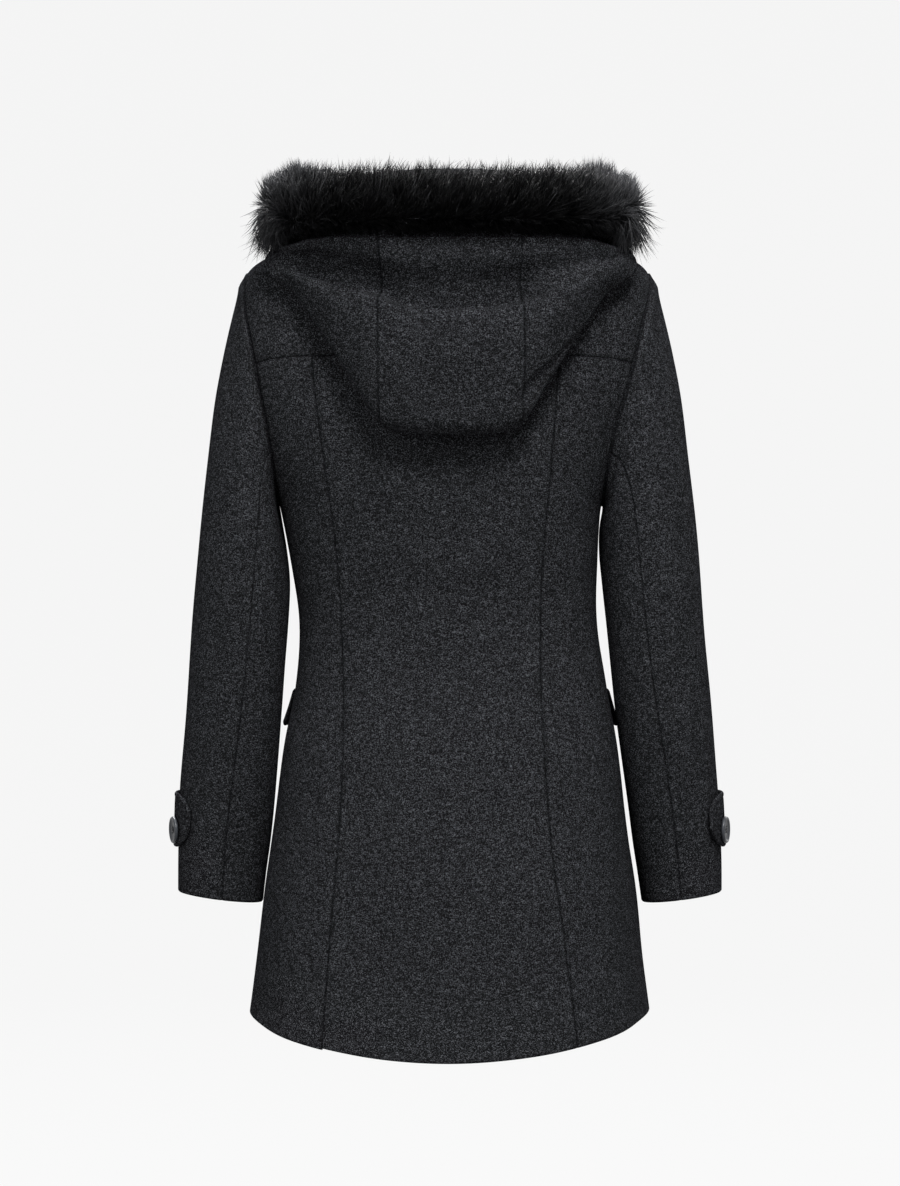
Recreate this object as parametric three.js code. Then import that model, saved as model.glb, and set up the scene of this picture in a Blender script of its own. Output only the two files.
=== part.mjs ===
// A hooded duffle coat in charcoal wool, worn shape, with nothing inside it.
// Millimetres, +Z up. The front faces -Y and the wearer's left side is +X.
// The origin is the middle of the neck at the level of the shoulders.
import * as THREE from 'three';
import { mergeVertices } from 'three/examples/jsm/utils/BufferGeometryUtils.js';

const CLOTH = 3; // wool coating with its fused backing
const SEAM = 0.36; // gap between two pieces at a seam
const HALF_TURN = Math.PI;
const QUARTER_TURN = Math.PI / 2;
const DEGREE = Math.PI / 180;

// The body, one row for each ring from the neck seam down to the hem.
// Each ring has its own height at the sides, the back and the front.
const BODY_RINGS = [
  { sideZ: 8, halfWidth: 76, backZ: 10, backY: 52, frontZ: -70, frontY: 84, square: 2.0, shift: 0 },
  { sideZ: -8, halfWidth: 112, backZ: -6, backY: 68, frontZ: -82, frontY: 90, square: 2.1, shift: 0.5 },
  { sideZ: -22, halfWidth: 150, backZ: -24, backY: 79, frontZ: -96, frontY: 96, square: 2.3, shift: 1 },
  { sideZ: -36, halfWidth: 184, backZ: -45, backY: 89, frontZ: -112, frontY: 102, square: 2.5, shift: 1.5 },
  { sideZ: -50, halfWidth: 200, backZ: -68, backY: 97, frontZ: -131, frontY: 108, square: 2.7, shift: 2 },
  { sideZ: -70, halfWidth: 204, backZ: -92, backY: 102, frontZ: -151, frontY: 114, square: 2.9, shift: 3 },
  { sideZ: -98, halfWidth: 204, backZ: -118, backY: 106, frontZ: -173, frontY: 119, square: 3.0, shift: 5 },
  { sideZ: -157, halfWidth: 197, backZ: -165, backY: 110, frontZ: -211, frontY: 125, square: 3.0, shift: 6 },
  { sideZ: -218, halfWidth: 180, backZ: -220, backY: 110, frontZ: -250, frontY: 126, square: 2.8, shift: 9 },
  { sideZ: -283, halfWidth: 160, backZ: -283, backY: 105, frontZ: -292, frontY: 123, square: 2.6, shift: 9 },
  { sideZ: -347, halfWidth: 151.5, backZ: -347, backY: 96, frontZ: -350, frontY: 114, square: 2.4, shift: 5 },
  { sideZ: -400, halfWidth: 148.5, backZ: -400, backY: 92, frontZ: -400, frontY: 109, square: 2.3, shift: 1.5 },
  { sideZ: -460, halfWidth: 155, backZ: -460, backY: 98, frontZ: -460, frontY: 112, square: 2.3, shift: -1 },
  { sideZ: -520, halfWidth: 166, backZ: -520, backY: 111, frontZ: -520, frontY: 120, square: 2.3, shift: -0.5 },
  { sideZ: -590, halfWidth: 174.5, backZ: -590, backY: 123, frontZ: -590, frontY: 128, square: 2.2, shift: 0 },
  { sideZ: -660, halfWidth: 184, backZ: -660, backY: 133, frontZ: -660, frontY: 135, square: 2.2, shift: 0.5 },
  { sideZ: -730, halfWidth: 192, backZ: -736, backY: 141, frontZ: -733, frontY: 142, square: 2.2, shift: 1 },
  { sideZ: -786, halfWidth: 199, backZ: -817, backY: 150, frontZ: -802, frontY: 148, square: 2.2, shift: 1.5 },
];
const HEM_RING = BODY_RINGS.length - 1;

// The armhole, an oval seen from the side.
const ARMHOLE = { middleZ: -165.5, halfHeight: 117.5, backY: 66, frontY: 70 };
// Directions round the armhole and the sleeve, in degrees: 0 is the top or outer side, 90 the back, 180 the underarm.
const YOKE_STOPS = [0, 16, 32, 48, 64, 79];
const BACK_STOPS = [79, 92, 105, 124, 143, 162, 180];
const FRONT_STOPS = [180, 198, 216, 233, 250, 268, 286, 304, 322, 341, 360];
// The sleeve seams leave the armhole here and swing outward by the turns below on their way down.
const SLEEVE_BACK_SEAM = 124;
const SLEEVE_FRONT_SEAM = 233;
const SEAM_SWING = { atHead: 19, atCuff: 9, spread: 75 };

// The back panel seams: distance from the middle of the back on each side.
const BACK_SEAMS = [
  { z: -140, left: 134, right: 105 },
  { z: -240, left: 123, right: 99 },
  { z: -345, left: 110, right: 90 },
  { z: -430, left: 105.5, right: 88.5 },
  { z: -520, left: 104.5, right: 92 },
  { z: -610, left: 109, right: 98 },
  { z: -700, left: 116.5, right: 110 },
  { z: -812, left: 124, right: 123 },
];
const YOKE = { middleZ: -137, dropAtArmhole: 6 };
const SIDE_PANEL_DROP = 0.043; // in rings: the left back side panel hangs 3 mm lower at its seam
const FRONT_EDGE = { under: -22, over: 28 }; // where the under and over fronts end, across the middle
const LAP = { lift: CLOTH + 0.5, start: -54.7, full: -23 }; // between these the over front rises onto the other
const CENTRE_COLUMNS = 7;
const SIDE_COLUMNS = 4;

// The sleeve, one row for each ring from just outside the armhole down to the cuff.
// outer and inner are the sleeve's two edges seen from behind; lean is added on the left and taken off on the right.
const SLEEVE_RINGS = [
  { outerX: 208, outerZ: -63, innerX: 161, innerZ: -291, lean: 9, halfDepth: 69, middleY: 0 },
  { outerX: 215, outerZ: -90, innerX: 158, innerZ: -306, lean: 8.5, halfDepth: 68.5, middleY: 1 },
  { outerX: 224, outerZ: -130, innerX: 156, innerZ: -330, lean: 6.5, halfDepth: 66, middleY: 3 },
  { outerX: 233, outerZ: -178, innerX: 156, innerZ: -360, lean: 4, halfDepth: 62, middleY: 6 },
  { outerX: 240, outerZ: -235, innerX: 158.5, innerZ: -398, lean: 3, halfDepth: 58, middleY: 8 },
  { outerX: 246.5, outerZ: -297, innerX: 162, innerZ: -440, lean: 2.5, halfDepth: 54.5, middleY: 8 },
  { outerX: 252.5, outerZ: -361, innerX: 166, innerZ: -484, lean: 1.5, halfDepth: 52, middleY: 5 },
  { outerX: 258, outerZ: -427, innerX: 171, innerZ: -530, lean: 0, halfDepth: 50, middleY: 0 },
  { outerX: 264, outerZ: -495, innerX: 176.5, innerZ: -575, lean: -1, halfDepth: 48, middleY: -7 },
  { outerX: 270.5, outerZ: -567, innerX: 182, innerZ: -617, lean: -1.5, halfDepth: 46.5, middleY: -16 },
  { outerX: 273, outerZ: -622, innerX: 187, innerZ: -649, lean: -2, halfDepth: 45.5, middleY: -23 },
  { outerX: 274, outerZ: -664, innerX: 191, innerZ: -671, lean: -2.5, halfDepth: 45, middleY: -28 },
];
const OUTER_LEAN = 1.7;
const CUFF_RING = SLEEVE_RINGS.length - 1;

// The hood lies back on the shoulders. One row for each place along its face edge, from the middle of
// the back to the end at the front of the neck. fur is the middle of the fur roll and rimTurn the direction
// from which the cloth meets it. neckTurn is where the hood is sewn to the neck. fold is its lowest line,
// seen from behind, and bag how far the fold stands off the body; where bag is 0 the cloth has no fold.
const HOOD_ROWS = [
  { furX: 0, furY: 150, furZ: -2, reach: 37, up: 37, down: 37, tilt: 0, rimTurn: -84, neckTurn: 0, foldX: 0, foldZ: -214, bag: 34 },
  { furX: 34, furY: 150, furZ: -2, reach: 37, up: 37, down: 37, tilt: 0, rimTurn: -84, neckTurn: 14, foldX: 34, foldZ: -213, bag: 34 },
  { furX: 68, furY: 147, furZ: -2, reach: 37, up: 38, down: 37, tilt: 0, rimTurn: -84, neckTurn: 28, foldX: 66, foldZ: -203, bag: 33 },
  { furX: 98, furY: 139, furZ: -1, reach: 37, up: 38, down: 37, tilt: 0, rimTurn: -82, neckTurn: 39, foldX: 91, foldZ: -166, bag: 30 },
  { furX: 128, furY: 122, furZ: 1, reach: 37, up: 39, down: 37, tilt: 2, rimTurn: -78, neckTurn: 49, foldX: 120, foldZ: -121, bag: 26 },
  { furX: 145, furY: 102, furZ: 3, reach: 37, up: 40, down: 35, tilt: 5, rimTurn: -76, neckTurn: 57, foldX: 145, foldZ: -84, bag: 20 },
  { furX: 154, furY: 76, furZ: 10, reach: 37, up: 35, down: 26, tilt: 10, rimTurn: -86, neckTurn: 66, foldX: 166, foldZ: -53, bag: 14 },
  { furX: 157, furY: 42, furZ: 15, reach: 36, up: 32, down: 18, tilt: 18, rimTurn: -124, neckTurn: 78, foldX: 0, foldZ: 0, bag: 0 },
  { furX: 148, furY: 0, furZ: 9, reach: 37, up: 36, down: 25, tilt: 21, rimTurn: -140, neckTurn: 90, foldX: 0, foldZ: 0, bag: 0 },
  { furX: 131, furY: -42, furZ: 9, reach: 34, up: 34, down: 25, tilt: 16, rimTurn: -150, neckTurn: 110, foldX: 0, foldZ: 0, bag: 0 },
  { furX: 102, furY: -96, furZ: -16, reach: 30, up: 32, down: 27, tilt: 8, rimTurn: -155, neckTurn: 134, foldX: 0, foldZ: 0, bag: 0 },
  { furX: 52, furY: -128, furZ: -55, reach: 29, up: 30, down: 29, tilt: 0, rimTurn: -160, neckTurn: 158, foldX: 0, foldZ: 0, bag: 0 },
];
const HOOD_SEAM_ROW = 2; // the middle and side panels of the hood meet here
const HOOD_STAND = { back: 34, front: 14, lean: 5, roll: 22 };
const HOOD_LIE = { clear: 4.6, spring: 12, bulge: 13, trough: 9, troughAt: 0.73, turnIn: 15 };
const FUR_SIDES = 10;

const FLAP = {
  heights: [-462, -482, -501],
  standOff: [4.45, 5.5, 6.6],
  endStandOff: 1.6,
  sideTurn: 99,
  frontTurn: 140,
  slope: 6,
};
const CUFF_TAB = {
  stops: [-85, -60, -35, -12, 10, 24, 33, 38],
  halfWidths: [28, 28, 28, 28, 27, 23, 16, 8],
  middleZ: -595,
  rise: 1.1,
};
const BUTTON = { radius: 13.5, thickness: 3.6, holeRadius: 1.4, holeOffset: 2.6, stop: 8, row: 9.65, seat: 5 };
const CLOSURE = {
  heights: [-135, -245, -355, -465],
  length: 52,
  profile: [
    { along: -1, radius: 3 }, { along: -0.85, radius: 5.2 }, { along: -0.4, radius: 7 }, { along: 0, radius: 7.4 },
    { along: 0.4, radius: 7 }, { along: 0.85, radius: 5.2 }, { along: 1, radius: 3 },
  ],
  toggleHeight: 11.8,
  patchHalf: 15,
  patchSeat: 1.2,
  leather: 1.6,
  cordRadius: 2,
  cordHeight: 2.6,
  loopHalf: 7,
  loopPatchX: 46,
  loopEndX: -6,
  togglePatchX: 34,
};

// A point part of the way between two numbers.
const mix = (a, b, share) => a + (b - a) * share;
const clamp01 = (value) => Math.min(1, Math.max(0, value));
const smooth = (value) => clamp01(value) ** 2 * (3 - 2 * clamp01(value));

// A smooth curve through one column of a table, at a fractional row.
function through(rows, column, at) {
  const last = rows.length - 1;
  const i = Math.min(last - 1, Math.max(0, Math.floor(at)));
  const f = at - i;
  const [a, b, c, d] = [i - 1, i, i + 1, i + 2].map((k) => rows[Math.min(last, Math.max(0, k))][column]);
  return b + 0.5 * f * (c - a + f * (2 * a - 5 * b + 4 * c - d + f * (3 * (b - c) + d - a)));
}

// The fractional row where a column that only rises or only falls reaches a value.
function rowWhere(rows, column, value) {
  const rising = rows[rows.length - 1][column] > rows[0][column];
  let i = 0;
  while (i < rows.length - 2 && rising === value > rows[i + 1][column]) i += 1;
  return i + clamp01((value - rows[i][column]) / (rows[i + 1][column] - rows[i][column]));
}

// The outside of the body. turn is 0 at the middle of the back and a quarter turn at the wearer's left.
function bodyPoint(turn, ring) {
  const value = (column) => through(BODY_RINGS, column, ring);
  const across = Math.sin(turn);
  const along = Math.cos(turn);
  const square = value('square');
  const reach = (Math.abs(across) ** square + Math.abs(along) ** square) ** (-1 / square);
  const [depth, endZ] = along > 0 ? [value('backY'), value('backZ')] : [value('frontY'), value('frontZ')];
  return new THREE.Vector3(
    value('shift') + value('halfWidth') * reach * across,
    depth * reach * along,
    mix(value('sideZ'), endZ, along * along),
  );
}

// The outward direction of a surface that takes two numbers.
function normalOf(surface, a, b, stepA = 1e-3, stepB = 1e-3) {
  const alongA = surface(a + stepA, b).sub(surface(a - stepA, b));
  const alongB = surface(a, b + stepB).sub(surface(a, b - stepB));
  return alongA.cross(alongB).normalize();
}

const bodyNormal = (turn, ring) => normalOf(bodyPoint, turn, ring);
const aboveBody = (turn, ring, height) => bodyPoint(turn, ring).addScaledVector(bodyNormal(turn, ring), height);

// The place on the body with two given coordinates, such as { x, z }, near a first guess.
function placeOnBody(goal, turn, ring) {
  const [p, q] = Object.keys(goal);
  const step = 1e-4;
  for (let round = 0; round < 30; round += 1) {
    const here = bodyPoint(turn, ring);
    const byTurn = bodyPoint(turn + step, ring).sub(here).divideScalar(step);
    const byRing = bodyPoint(turn, ring + step).sub(here).divideScalar(step);
    const missP = goal[p] - here[p];
    const missQ = goal[q] - here[q];
    const scale = byTurn[p] * byRing[q] - byTurn[q] * byRing[p];
    turn += THREE.MathUtils.clamp((missP * byRing[q] - missQ * byRing[p]) / scale, -0.2, 0.2);
    ring += THREE.MathUtils.clamp((missQ * byTurn[p] - missP * byTurn[q]) / scale, -1, 1);
    ring = THREE.MathUtils.clamp(ring, 0, HEM_RING);
  }
  return { turn, ring };
}

// The same solid with its faces turned out, whichever way round it was listed.
function facingOut(geometry) {
  const position = geometry.attributes.position;
  const index = geometry.index.array;
  const corner = (i) => new THREE.Vector3().fromBufferAttribute(position, index[i]);
  let volume = 0;
  for (let i = 0; i < index.length; i += 3) volume += corner(i).dot(corner(i + 1).cross(corner(i + 2)));
  if (volume < 0) for (let i = 0; i < index.length; i += 3) [index[i], index[i + 1]] = [index[i + 1], index[i]];
  return geometry;
}

function solid(points, index) {
  const geometry = new THREE.BufferGeometry();
  geometry.setAttribute('position', new THREE.Float32BufferAttribute(points.flatMap((p) => p.toArray()), 3));
  geometry.setIndex(index);
  return facingOut(geometry);
}

// A wall of cloth through a grid of corners, each with an outer and an inner point, drawn in at its
// edges by half a seam.
function wall(grid) {
  const rows = grid.length;
  const columns = grid[0].length;
  const pull = (corner, towards) => ({
    outer: corner.outer.clone().lerp(towards.outer, SEAM / 2 / corner.outer.distanceTo(towards.outer)),
    inner: corner.inner.clone().lerp(towards.inner, SEAM / 2 / corner.inner.distanceTo(towards.inner)),
  });
  const drawn = grid.map((row) => row.map((corner, j) => {
    if (j === 0) return pull(corner, row[1]);
    return j === columns - 1 ? pull(corner, row[columns - 2]) : corner;
  }));
  const top = drawn[0].map((corner, j) => pull(corner, drawn[1][j]));
  const bottom = drawn[rows - 1].map((corner, j) => pull(corner, drawn[rows - 2][j]));
  drawn[0] = top;
  drawn[rows - 1] = bottom;

  const points = [...drawn.flat().map((corner) => corner.outer), ...drawn.flat().map((corner) => corner.inner)];
  const outer = (i, j) => i * columns + j;
  const inner = (i, j) => rows * columns + i * columns + j;
  const index = [];
  const quad = (a, b, c, d) => index.push(a, b, c, a, c, d);
  for (let i = 0; i < rows - 1; i += 1) {
    for (let j = 0; j < columns - 1; j += 1) {
      quad(outer(i, j), outer(i, j + 1), outer(i + 1, j + 1), outer(i + 1, j));
      quad(inner(i, j), inner(i + 1, j), inner(i + 1, j + 1), inner(i, j + 1));
    }
    quad(outer(i, 0), outer(i + 1, 0), inner(i + 1, 0), inner(i, 0));
    quad(outer(i, columns - 1), inner(i, columns - 1), inner(i + 1, columns - 1), outer(i + 1, columns - 1));
  }
  for (let j = 0; j < columns - 1; j += 1) {
    quad(outer(0, j), inner(0, j), inner(0, j + 1), outer(0, j + 1));
    quad(outer(rows - 1, j), outer(rows - 1, j + 1), inner(rows - 1, j + 1), inner(rows - 1, j));
  }
  return solid(points, index);
}

// A solid through closed rings of points, with flat ends.
function ringSolid(rings) {
  const around = rings[0].length;
  const last = (rings.length - 1) * around;
  const index = [];
  for (let i = 0; i < rings.length - 1; i += 1) {
    for (let j = 0; j < around; j += 1) {
      const next = (j + 1) % around;
      const [a, b] = [i * around + j, i * around + next];
      index.push(a, b, b + around, a, b + around, a + around);
    }
  }
  for (let j = 1; j < around - 1; j += 1) {
    index.push(0, j + 1, j);
    index.push(last, last + j, last + j + 1);
  }
  return solid(rings.flat(), index);
}

const steps = (count) => Array.from({ length: count + 1 }, (_, i) => i / count);
const sideSign = { left: 1, right: -1 };

// How far the over front is raised at a distance across the front.
const lapLift = (x) => LAP.lift * smooth((x - LAP.start) / (LAP.full - LAP.start));

// The corners of a panel on the body through a grid of places, raised off the body by lift.
const bodyCorners = (places, lift = () => 0) => places.map((row) => row.map((place) => {
  const height = lift(place);
  return {
    outer: aboveBody(place.turn, place.ring, height),
    inner: aboveBody(place.turn, place.ring, height - CLOTH),
  };
}));

const bodyPanel = (places, lift) => wall(bodyCorners(places, lift));

const halfway = (a, b) => ({
  outer: a.outer.clone().lerp(b.outer, 0.5),
  inner: a.inner.clone().lerp(b.inner, 0.5),
});

// A place on the armhole seam, by its direction in degrees.
function armholePlace(side, stop) {
  const angle = stop * DEGREE;
  const depth = Math.sin(angle) > 0 ? ARMHOLE.backY : ARMHOLE.frontY;
  const goal = {
    y: depth * Math.sin(angle),
    z: ARMHOLE.middleZ + ARMHOLE.halfHeight * Math.cos(angle),
  };
  const guess = rowWhere(BODY_RINGS, 'sideZ', goal.z);
  const lean = Math.asin(THREE.MathUtils.clamp(goal.y / 140, -0.8, 0.8));
  return placeOnBody(goal, sideSign[side] * (QUARTER_TURN - lean), guess);
}

// The yoke seam, as the ring it crosses at each turn.
const yokeMiddleRing = placeOnBody({ x: 0, z: YOKE.middleZ }, 0, 6).ring;
const yokeEnd = armholePlace('left', YOKE_STOPS.at(-1));
const yokeSeamRing = (turn) => mix(yokeMiddleRing, yokeEnd.ring, (turn / yokeEnd.turn) ** 2);

// A place on a back panel seam, by ring.
function backSeamPlace(side, ring) {
  let turn = sideSign[side] * 0.6;
  for (let round = 0; round < 40; round += 1) {
    const point = bodyPoint(turn, ring);
    const across = through(BACK_SEAMS, side, rowWhere(BACK_SEAMS, 'z', point.z));
    turn += (sideSign[side] * across - point.x) / 200;
  }
  return { turn, ring };
}

// Where a back panel seam leaves the yoke seam.
function backSeamTop(side) {
  let place = backSeamPlace(side, yokeMiddleRing);
  for (let round = 0; round < 8; round += 1) place = backSeamPlace(side, yokeSeamRing(place.turn));
  return place;
}

const underarm = armholePlace('left', 180);
const SIDE_SEAM_RINGS = [0.13, 0.27, 0.4, 0.52, 0.64, 0.76, 0.88, 1].map((share) => mix(underarm.ring, HEM_RING, share));
const backSeamRows = (top) => [
  ...BACK_STOPS.map((_, i) => mix(top, underarm.ring + 0.35, i / (BACK_STOPS.length - 1))),
  ...[0.15, 0.29, 0.42, 0.54, 0.66, 0.77, 0.885, 1].map((share) => mix(underarm.ring + 0.35, HEM_RING, share)),
];

const rowOf = (from, to, shares) => shares.map((share) => ({
  turn: mix(from.turn, to.turn, share),
  ring: mix(from.ring, to.ring, share),
}));

// The turns of the columns along the yoke seam: each back side panel, and the back between them.
const sideTurns = (side) => steps(SIDE_COLUMNS).map((share) => (
  mix(backSeamTop(side).turn, sideSign[side] * yokeEnd.turn, share)
));
const centreTurns = () => steps(CENTRE_COLUMNS).map((share) => (
  mix(backSeamTop('right').turn, backSeamTop('left').turn, share)
));

// The yoke covers both shoulders, from the shoulder seams and the neck down to the yoke seam.
function yoke() {
  const shoulder = armholePlace('left', 0);
  const ends = [
    ...[0, 0.9, 1.9, 2.9].map((ring) => ({ turn: QUARTER_TURN, ring })),
    shoulder,
    ...YOKE_STOPS.slice(1).map((stop) => armholePlace('left', stop)),
  ];
  const seamTurns = [...sideTurns('right').reverse(), ...centreTurns().slice(1, -1), ...sideTurns('left')];
  const places = ends.map((end) => seamTurns.map((seamTurn) => {
    const turn = (end.turn * seamTurn) / yokeEnd.turn;
    const middle = (end.ring * yokeMiddleRing) / yokeEnd.ring;
    return { turn, ring: mix(middle, end.ring, (turn / end.turn) ** 2) };
  }));
  return bodyPanel(places);
}

function backCentre() {
  const left = backSeamRows(backSeamTop('left').ring);
  const right = backSeamRows(backSeamTop('right').ring);
  const places = left.map((ring, i) => {
    const from = backSeamPlace('right', right[i]);
    const to = backSeamPlace('left', ring);
    const fade = Math.max(0, 1 - i / 4);
    const shares = steps(CENTRE_COLUMNS);
    return rowOf(from, to, shares).map((place, j) => {
      const straight = mix(yokeSeamRing(from.turn), yokeSeamRing(to.turn), shares[j]);
      return { turn: place.turn, ring: place.ring + fade * (yokeSeamRing(place.turn) - straight) };
    });
  });
  return bodyPanel(places);
}

function backSide(side) {
  const seam = backSeamRows(backSeamTop(side).ring).map((ring) => backSeamPlace(side, ring));
  const edge = [
    ...BACK_STOPS.map((stop) => armholePlace(side, stop)),
    ...SIDE_SEAM_RINGS.map((ring) => ({ turn: sideSign[side] * QUARTER_TURN, ring })),
  ];
  const shares = steps(SIDE_COLUMNS);
  const places = seam.map((from, i) => rowOf(from, edge[i], shares));
  places[0] = places[0].map(({ turn }) => ({ turn, ring: yokeSeamRing(turn) }));
  if (side === 'left') {
    const hem = places.length - 1;
    places[hem] = places[hem].map(({ turn, ring }, j) => ({ turn, ring: ring + SIDE_PANEL_DROP * (1 - shares[j]) }));
  }
  return bodyPanel(places);
}

// The place on the front of the body at a distance across it.
function frontPlace(x, ring) {
  let [low, high] = [QUARTER_TURN, HALF_TURN * 1.5];
  for (let round = 0; round < 40; round += 1) {
    const turn = (low + high) / 2;
    if (bodyPoint(turn, ring).x > x) low = turn;
    else high = turn;
  }
  return { turn: low, ring };
}

// A front, from the shoulder seam, armhole and side seam to its own edge past the middle.
function front(side) {
  const sign = sideSign[side];
  const over = side === 'right';
  const edgeX = over ? FRONT_EDGE.over : FRONT_EDGE.under;
  const rampX = over ? LAP.full : FRONT_EDGE.over + 0.5;
  const rampStart = over ? LAP.start : -LAP.start;
  const outer = [
    ...[0, 0.9, 1.9, 2.9].map((ring) => ({ turn: sign * QUARTER_TURN, ring })),
    ...[...FRONT_STOPS].reverse().map((stop) => armholePlace(side, stop)),
    ...SIDE_SEAM_RINGS.map((ring) => ({ turn: sign * QUARTER_TURN, ring })),
  ];
  const count = outer.length - 1;
  const onFront = (x, ring) => {
    const place = frontPlace(x, ring);
    return over ? { turn: place.turn - 2 * HALF_TURN, ring } : place;
  };
  const places = outer.map((from, i) => {
    const ring = mix(from.ring, (HEM_RING * i) / count, 0.5);
    const middle = onFront(rampStart, ring);
    return [
      ...rowOf(from, middle, [0, 0.23, 0.4545, 0.73, 1]),
      onFront(rampX, ring),
      onFront(edgeX, ring),
    ];
  });
  const grid = bodyCorners(places, ({ turn, ring }) => (over ? lapLift(bodyPoint(turn, ring).x) : 0));
  grid[0][1] = halfway(grid[0][0], grid[0][2]);
  grid[0][3] = halfway(grid[0][2], grid[0][4]);
  return wall(grid);
}

// The outside of a sleeve. stop is in degrees round it and row follows the sleeve table.
function sleevePoint(side, stop, row) {
  const value = (column) => through(SLEEVE_RINGS, column, row);
  const lean = sideSign[side] * value('lean');
  const outerX = value('outerX') + sideSign[side] * OUTER_LEAN * smooth((CUFF_RING - row) / 4);
  const innerX = value('innerX') + lean;
  const near = (seam) => clamp01(1 - Math.abs(((stop + 360) % 360) - seam) / SEAM_SWING.spread);
  const head = SEAM_SWING.atHead * smooth((row + 1) / 4);
  const backSwing = (head + SEAM_SWING.atCuff * smooth((row - 5) / 5)) * near(SLEEVE_BACK_SEAM);
  const frontSwing = head * near(SLEEVE_FRONT_SEAM);
  const angle = (stop - backSwing + frontSwing) * DEGREE;
  const [out, back] = [Math.cos(angle), Math.sin(angle)];
  return new THREE.Vector3(
    sideSign[side] * ((outerX + innerX) / 2 + (out * (outerX - innerX)) / 2),
    value('middleY') + back * value('halfDepth'),
    (value('outerZ') + value('innerZ')) / 2 + (out * (value('outerZ') - value('innerZ'))) / 2,
  );
}

function sleeveNormal(side, stop, row) {
  const at = (a, b) => sleevePoint(side, a, b);
  const normal = normalOf(at, stop, row, 0.1, 1e-3);
  const middle = sleevePoint(side, stop, row).sub(sleevePoint(side, stop + 180, row));
  return normal.dot(middle) < 0 ? normal.negate() : normal;
}

const aboveSleeve = (side, stop, row, height) => (
  sleevePoint(side, stop, row).addScaledVector(sleeveNormal(side, stop, row), height)
);

// The sleeve's sewn end: it stands just inside the armhole edge and just proud of the body.
function sleeveHead(side, stop, height) {
  const { turn, ring } = armholePlace(side, stop);
  const point = aboveBody(turn, ring, height);
  const middle = new THREE.Vector3(point.x, 2, ARMHOLE.middleZ);
  const inward = middle.sub(point);
  const normal = bodyNormal(turn, ring);
  inward.addScaledVector(normal, -inward.dot(normal)).normalize();
  return {
    outer: point.clone().addScaledVector(inward, SEAM + 0.1),
    inner: point.clone().addScaledVector(inward, SEAM + 0.1 + CLOTH),
  };
}

function sleeve(side, seamStops) {
  const inset = 0.3; // degrees, so the two pieces stay apart where their seam runs slantwise
  const last = seamStops.length - 1;
  const stops = seamStops.map((stop, i) => stop + (i === 0) * inset - (i === last) * inset);
  const rows = [];
  rows.push(stops.map((stop) => sleeveHead(side, stop, -1.6)));
  rows.push(stops.map((stop) => sleeveHead(side, stop, 1.6)));
  for (let row = 0; row <= CUFF_RING; row += 1) {
    rows.push(stops.map((stop) => ({
      outer: sleevePoint(side, stop, row),
      inner: aboveSleeve(side, stop, row, -CLOTH),
    })));
  }
  return wall(rows);
}

const ALL_STOPS = [...YOKE_STOPS, ...BACK_STOPS.slice(1), ...FRONT_STOPS.slice(1, -1)];
const topStops = [
  ...ALL_STOPS.filter((stop) => stop >= SLEEVE_FRONT_SEAM).map((stop) => stop - 360),
  ...ALL_STOPS.filter((stop) => stop <= SLEEVE_BACK_SEAM),
];
const underStops = ALL_STOPS.filter((stop) => stop >= SLEEVE_BACK_SEAM && stop <= SLEEVE_FRONT_SEAM);

// One section of the fur roll, as a function of the direction round it in degrees.
function furSection(row, sign) {
  const at = (column) => through(HOOD_ROWS, column, row);
  const middle = new THREE.Vector3(sign * at('furX'), at('furY'), at('furZ'));
  const step = 0.05;
  const before = Math.max(0, row - step);
  const after = Math.min(HOOD_ROWS.length - 1, row + step);
  const run = [
    sign * (through(HOOD_ROWS, 'furX', after) - through(HOOD_ROWS, 'furX', before)),
    through(HOOD_ROWS, 'furY', after) - through(HOOD_ROWS, 'furY', before),
  ];
  const out = new THREE.Vector3(-sign * run[1], sign * run[0], 0).normalize();
  if (row === 0) out.set(0, 1, 0);
  const tilt = at('tilt') * DEGREE;
  const level = out.clone().multiplyScalar(Math.cos(tilt)).add(new THREE.Vector3(0, 0, -Math.sin(tilt)));
  const upright = out.clone().multiplyScalar(Math.sin(tilt)).add(new THREE.Vector3(0, 0, Math.cos(tilt)));
  return (angle, clear = 0) => {
    const rise = Math.sin(angle * DEGREE);
    const height = rise > 0 ? at('up') : at('down');
    return middle.clone()
      .addScaledVector(level, (at('reach') + clear) * Math.cos(angle * DEGREE))
      .addScaledVector(upright, (height + clear) * rise);
  };
}

function furEdge() {
  const ring = (row, sign) => {
    const section = furSection(row, sign);
    const from = HOOD_ROWS[row].rimTurn;
    return steps(FUR_SIDES).slice(0, -1).map((share) => section(from + 360 * share));
  };
  const rows = HOOD_ROWS.map((_, row) => row);
  return ringSolid([
    ...rows.slice(1).reverse().map((row) => ring(row, -1)),
    ...rows.map((row) => ring(row, 1)),
  ]);
}

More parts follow.
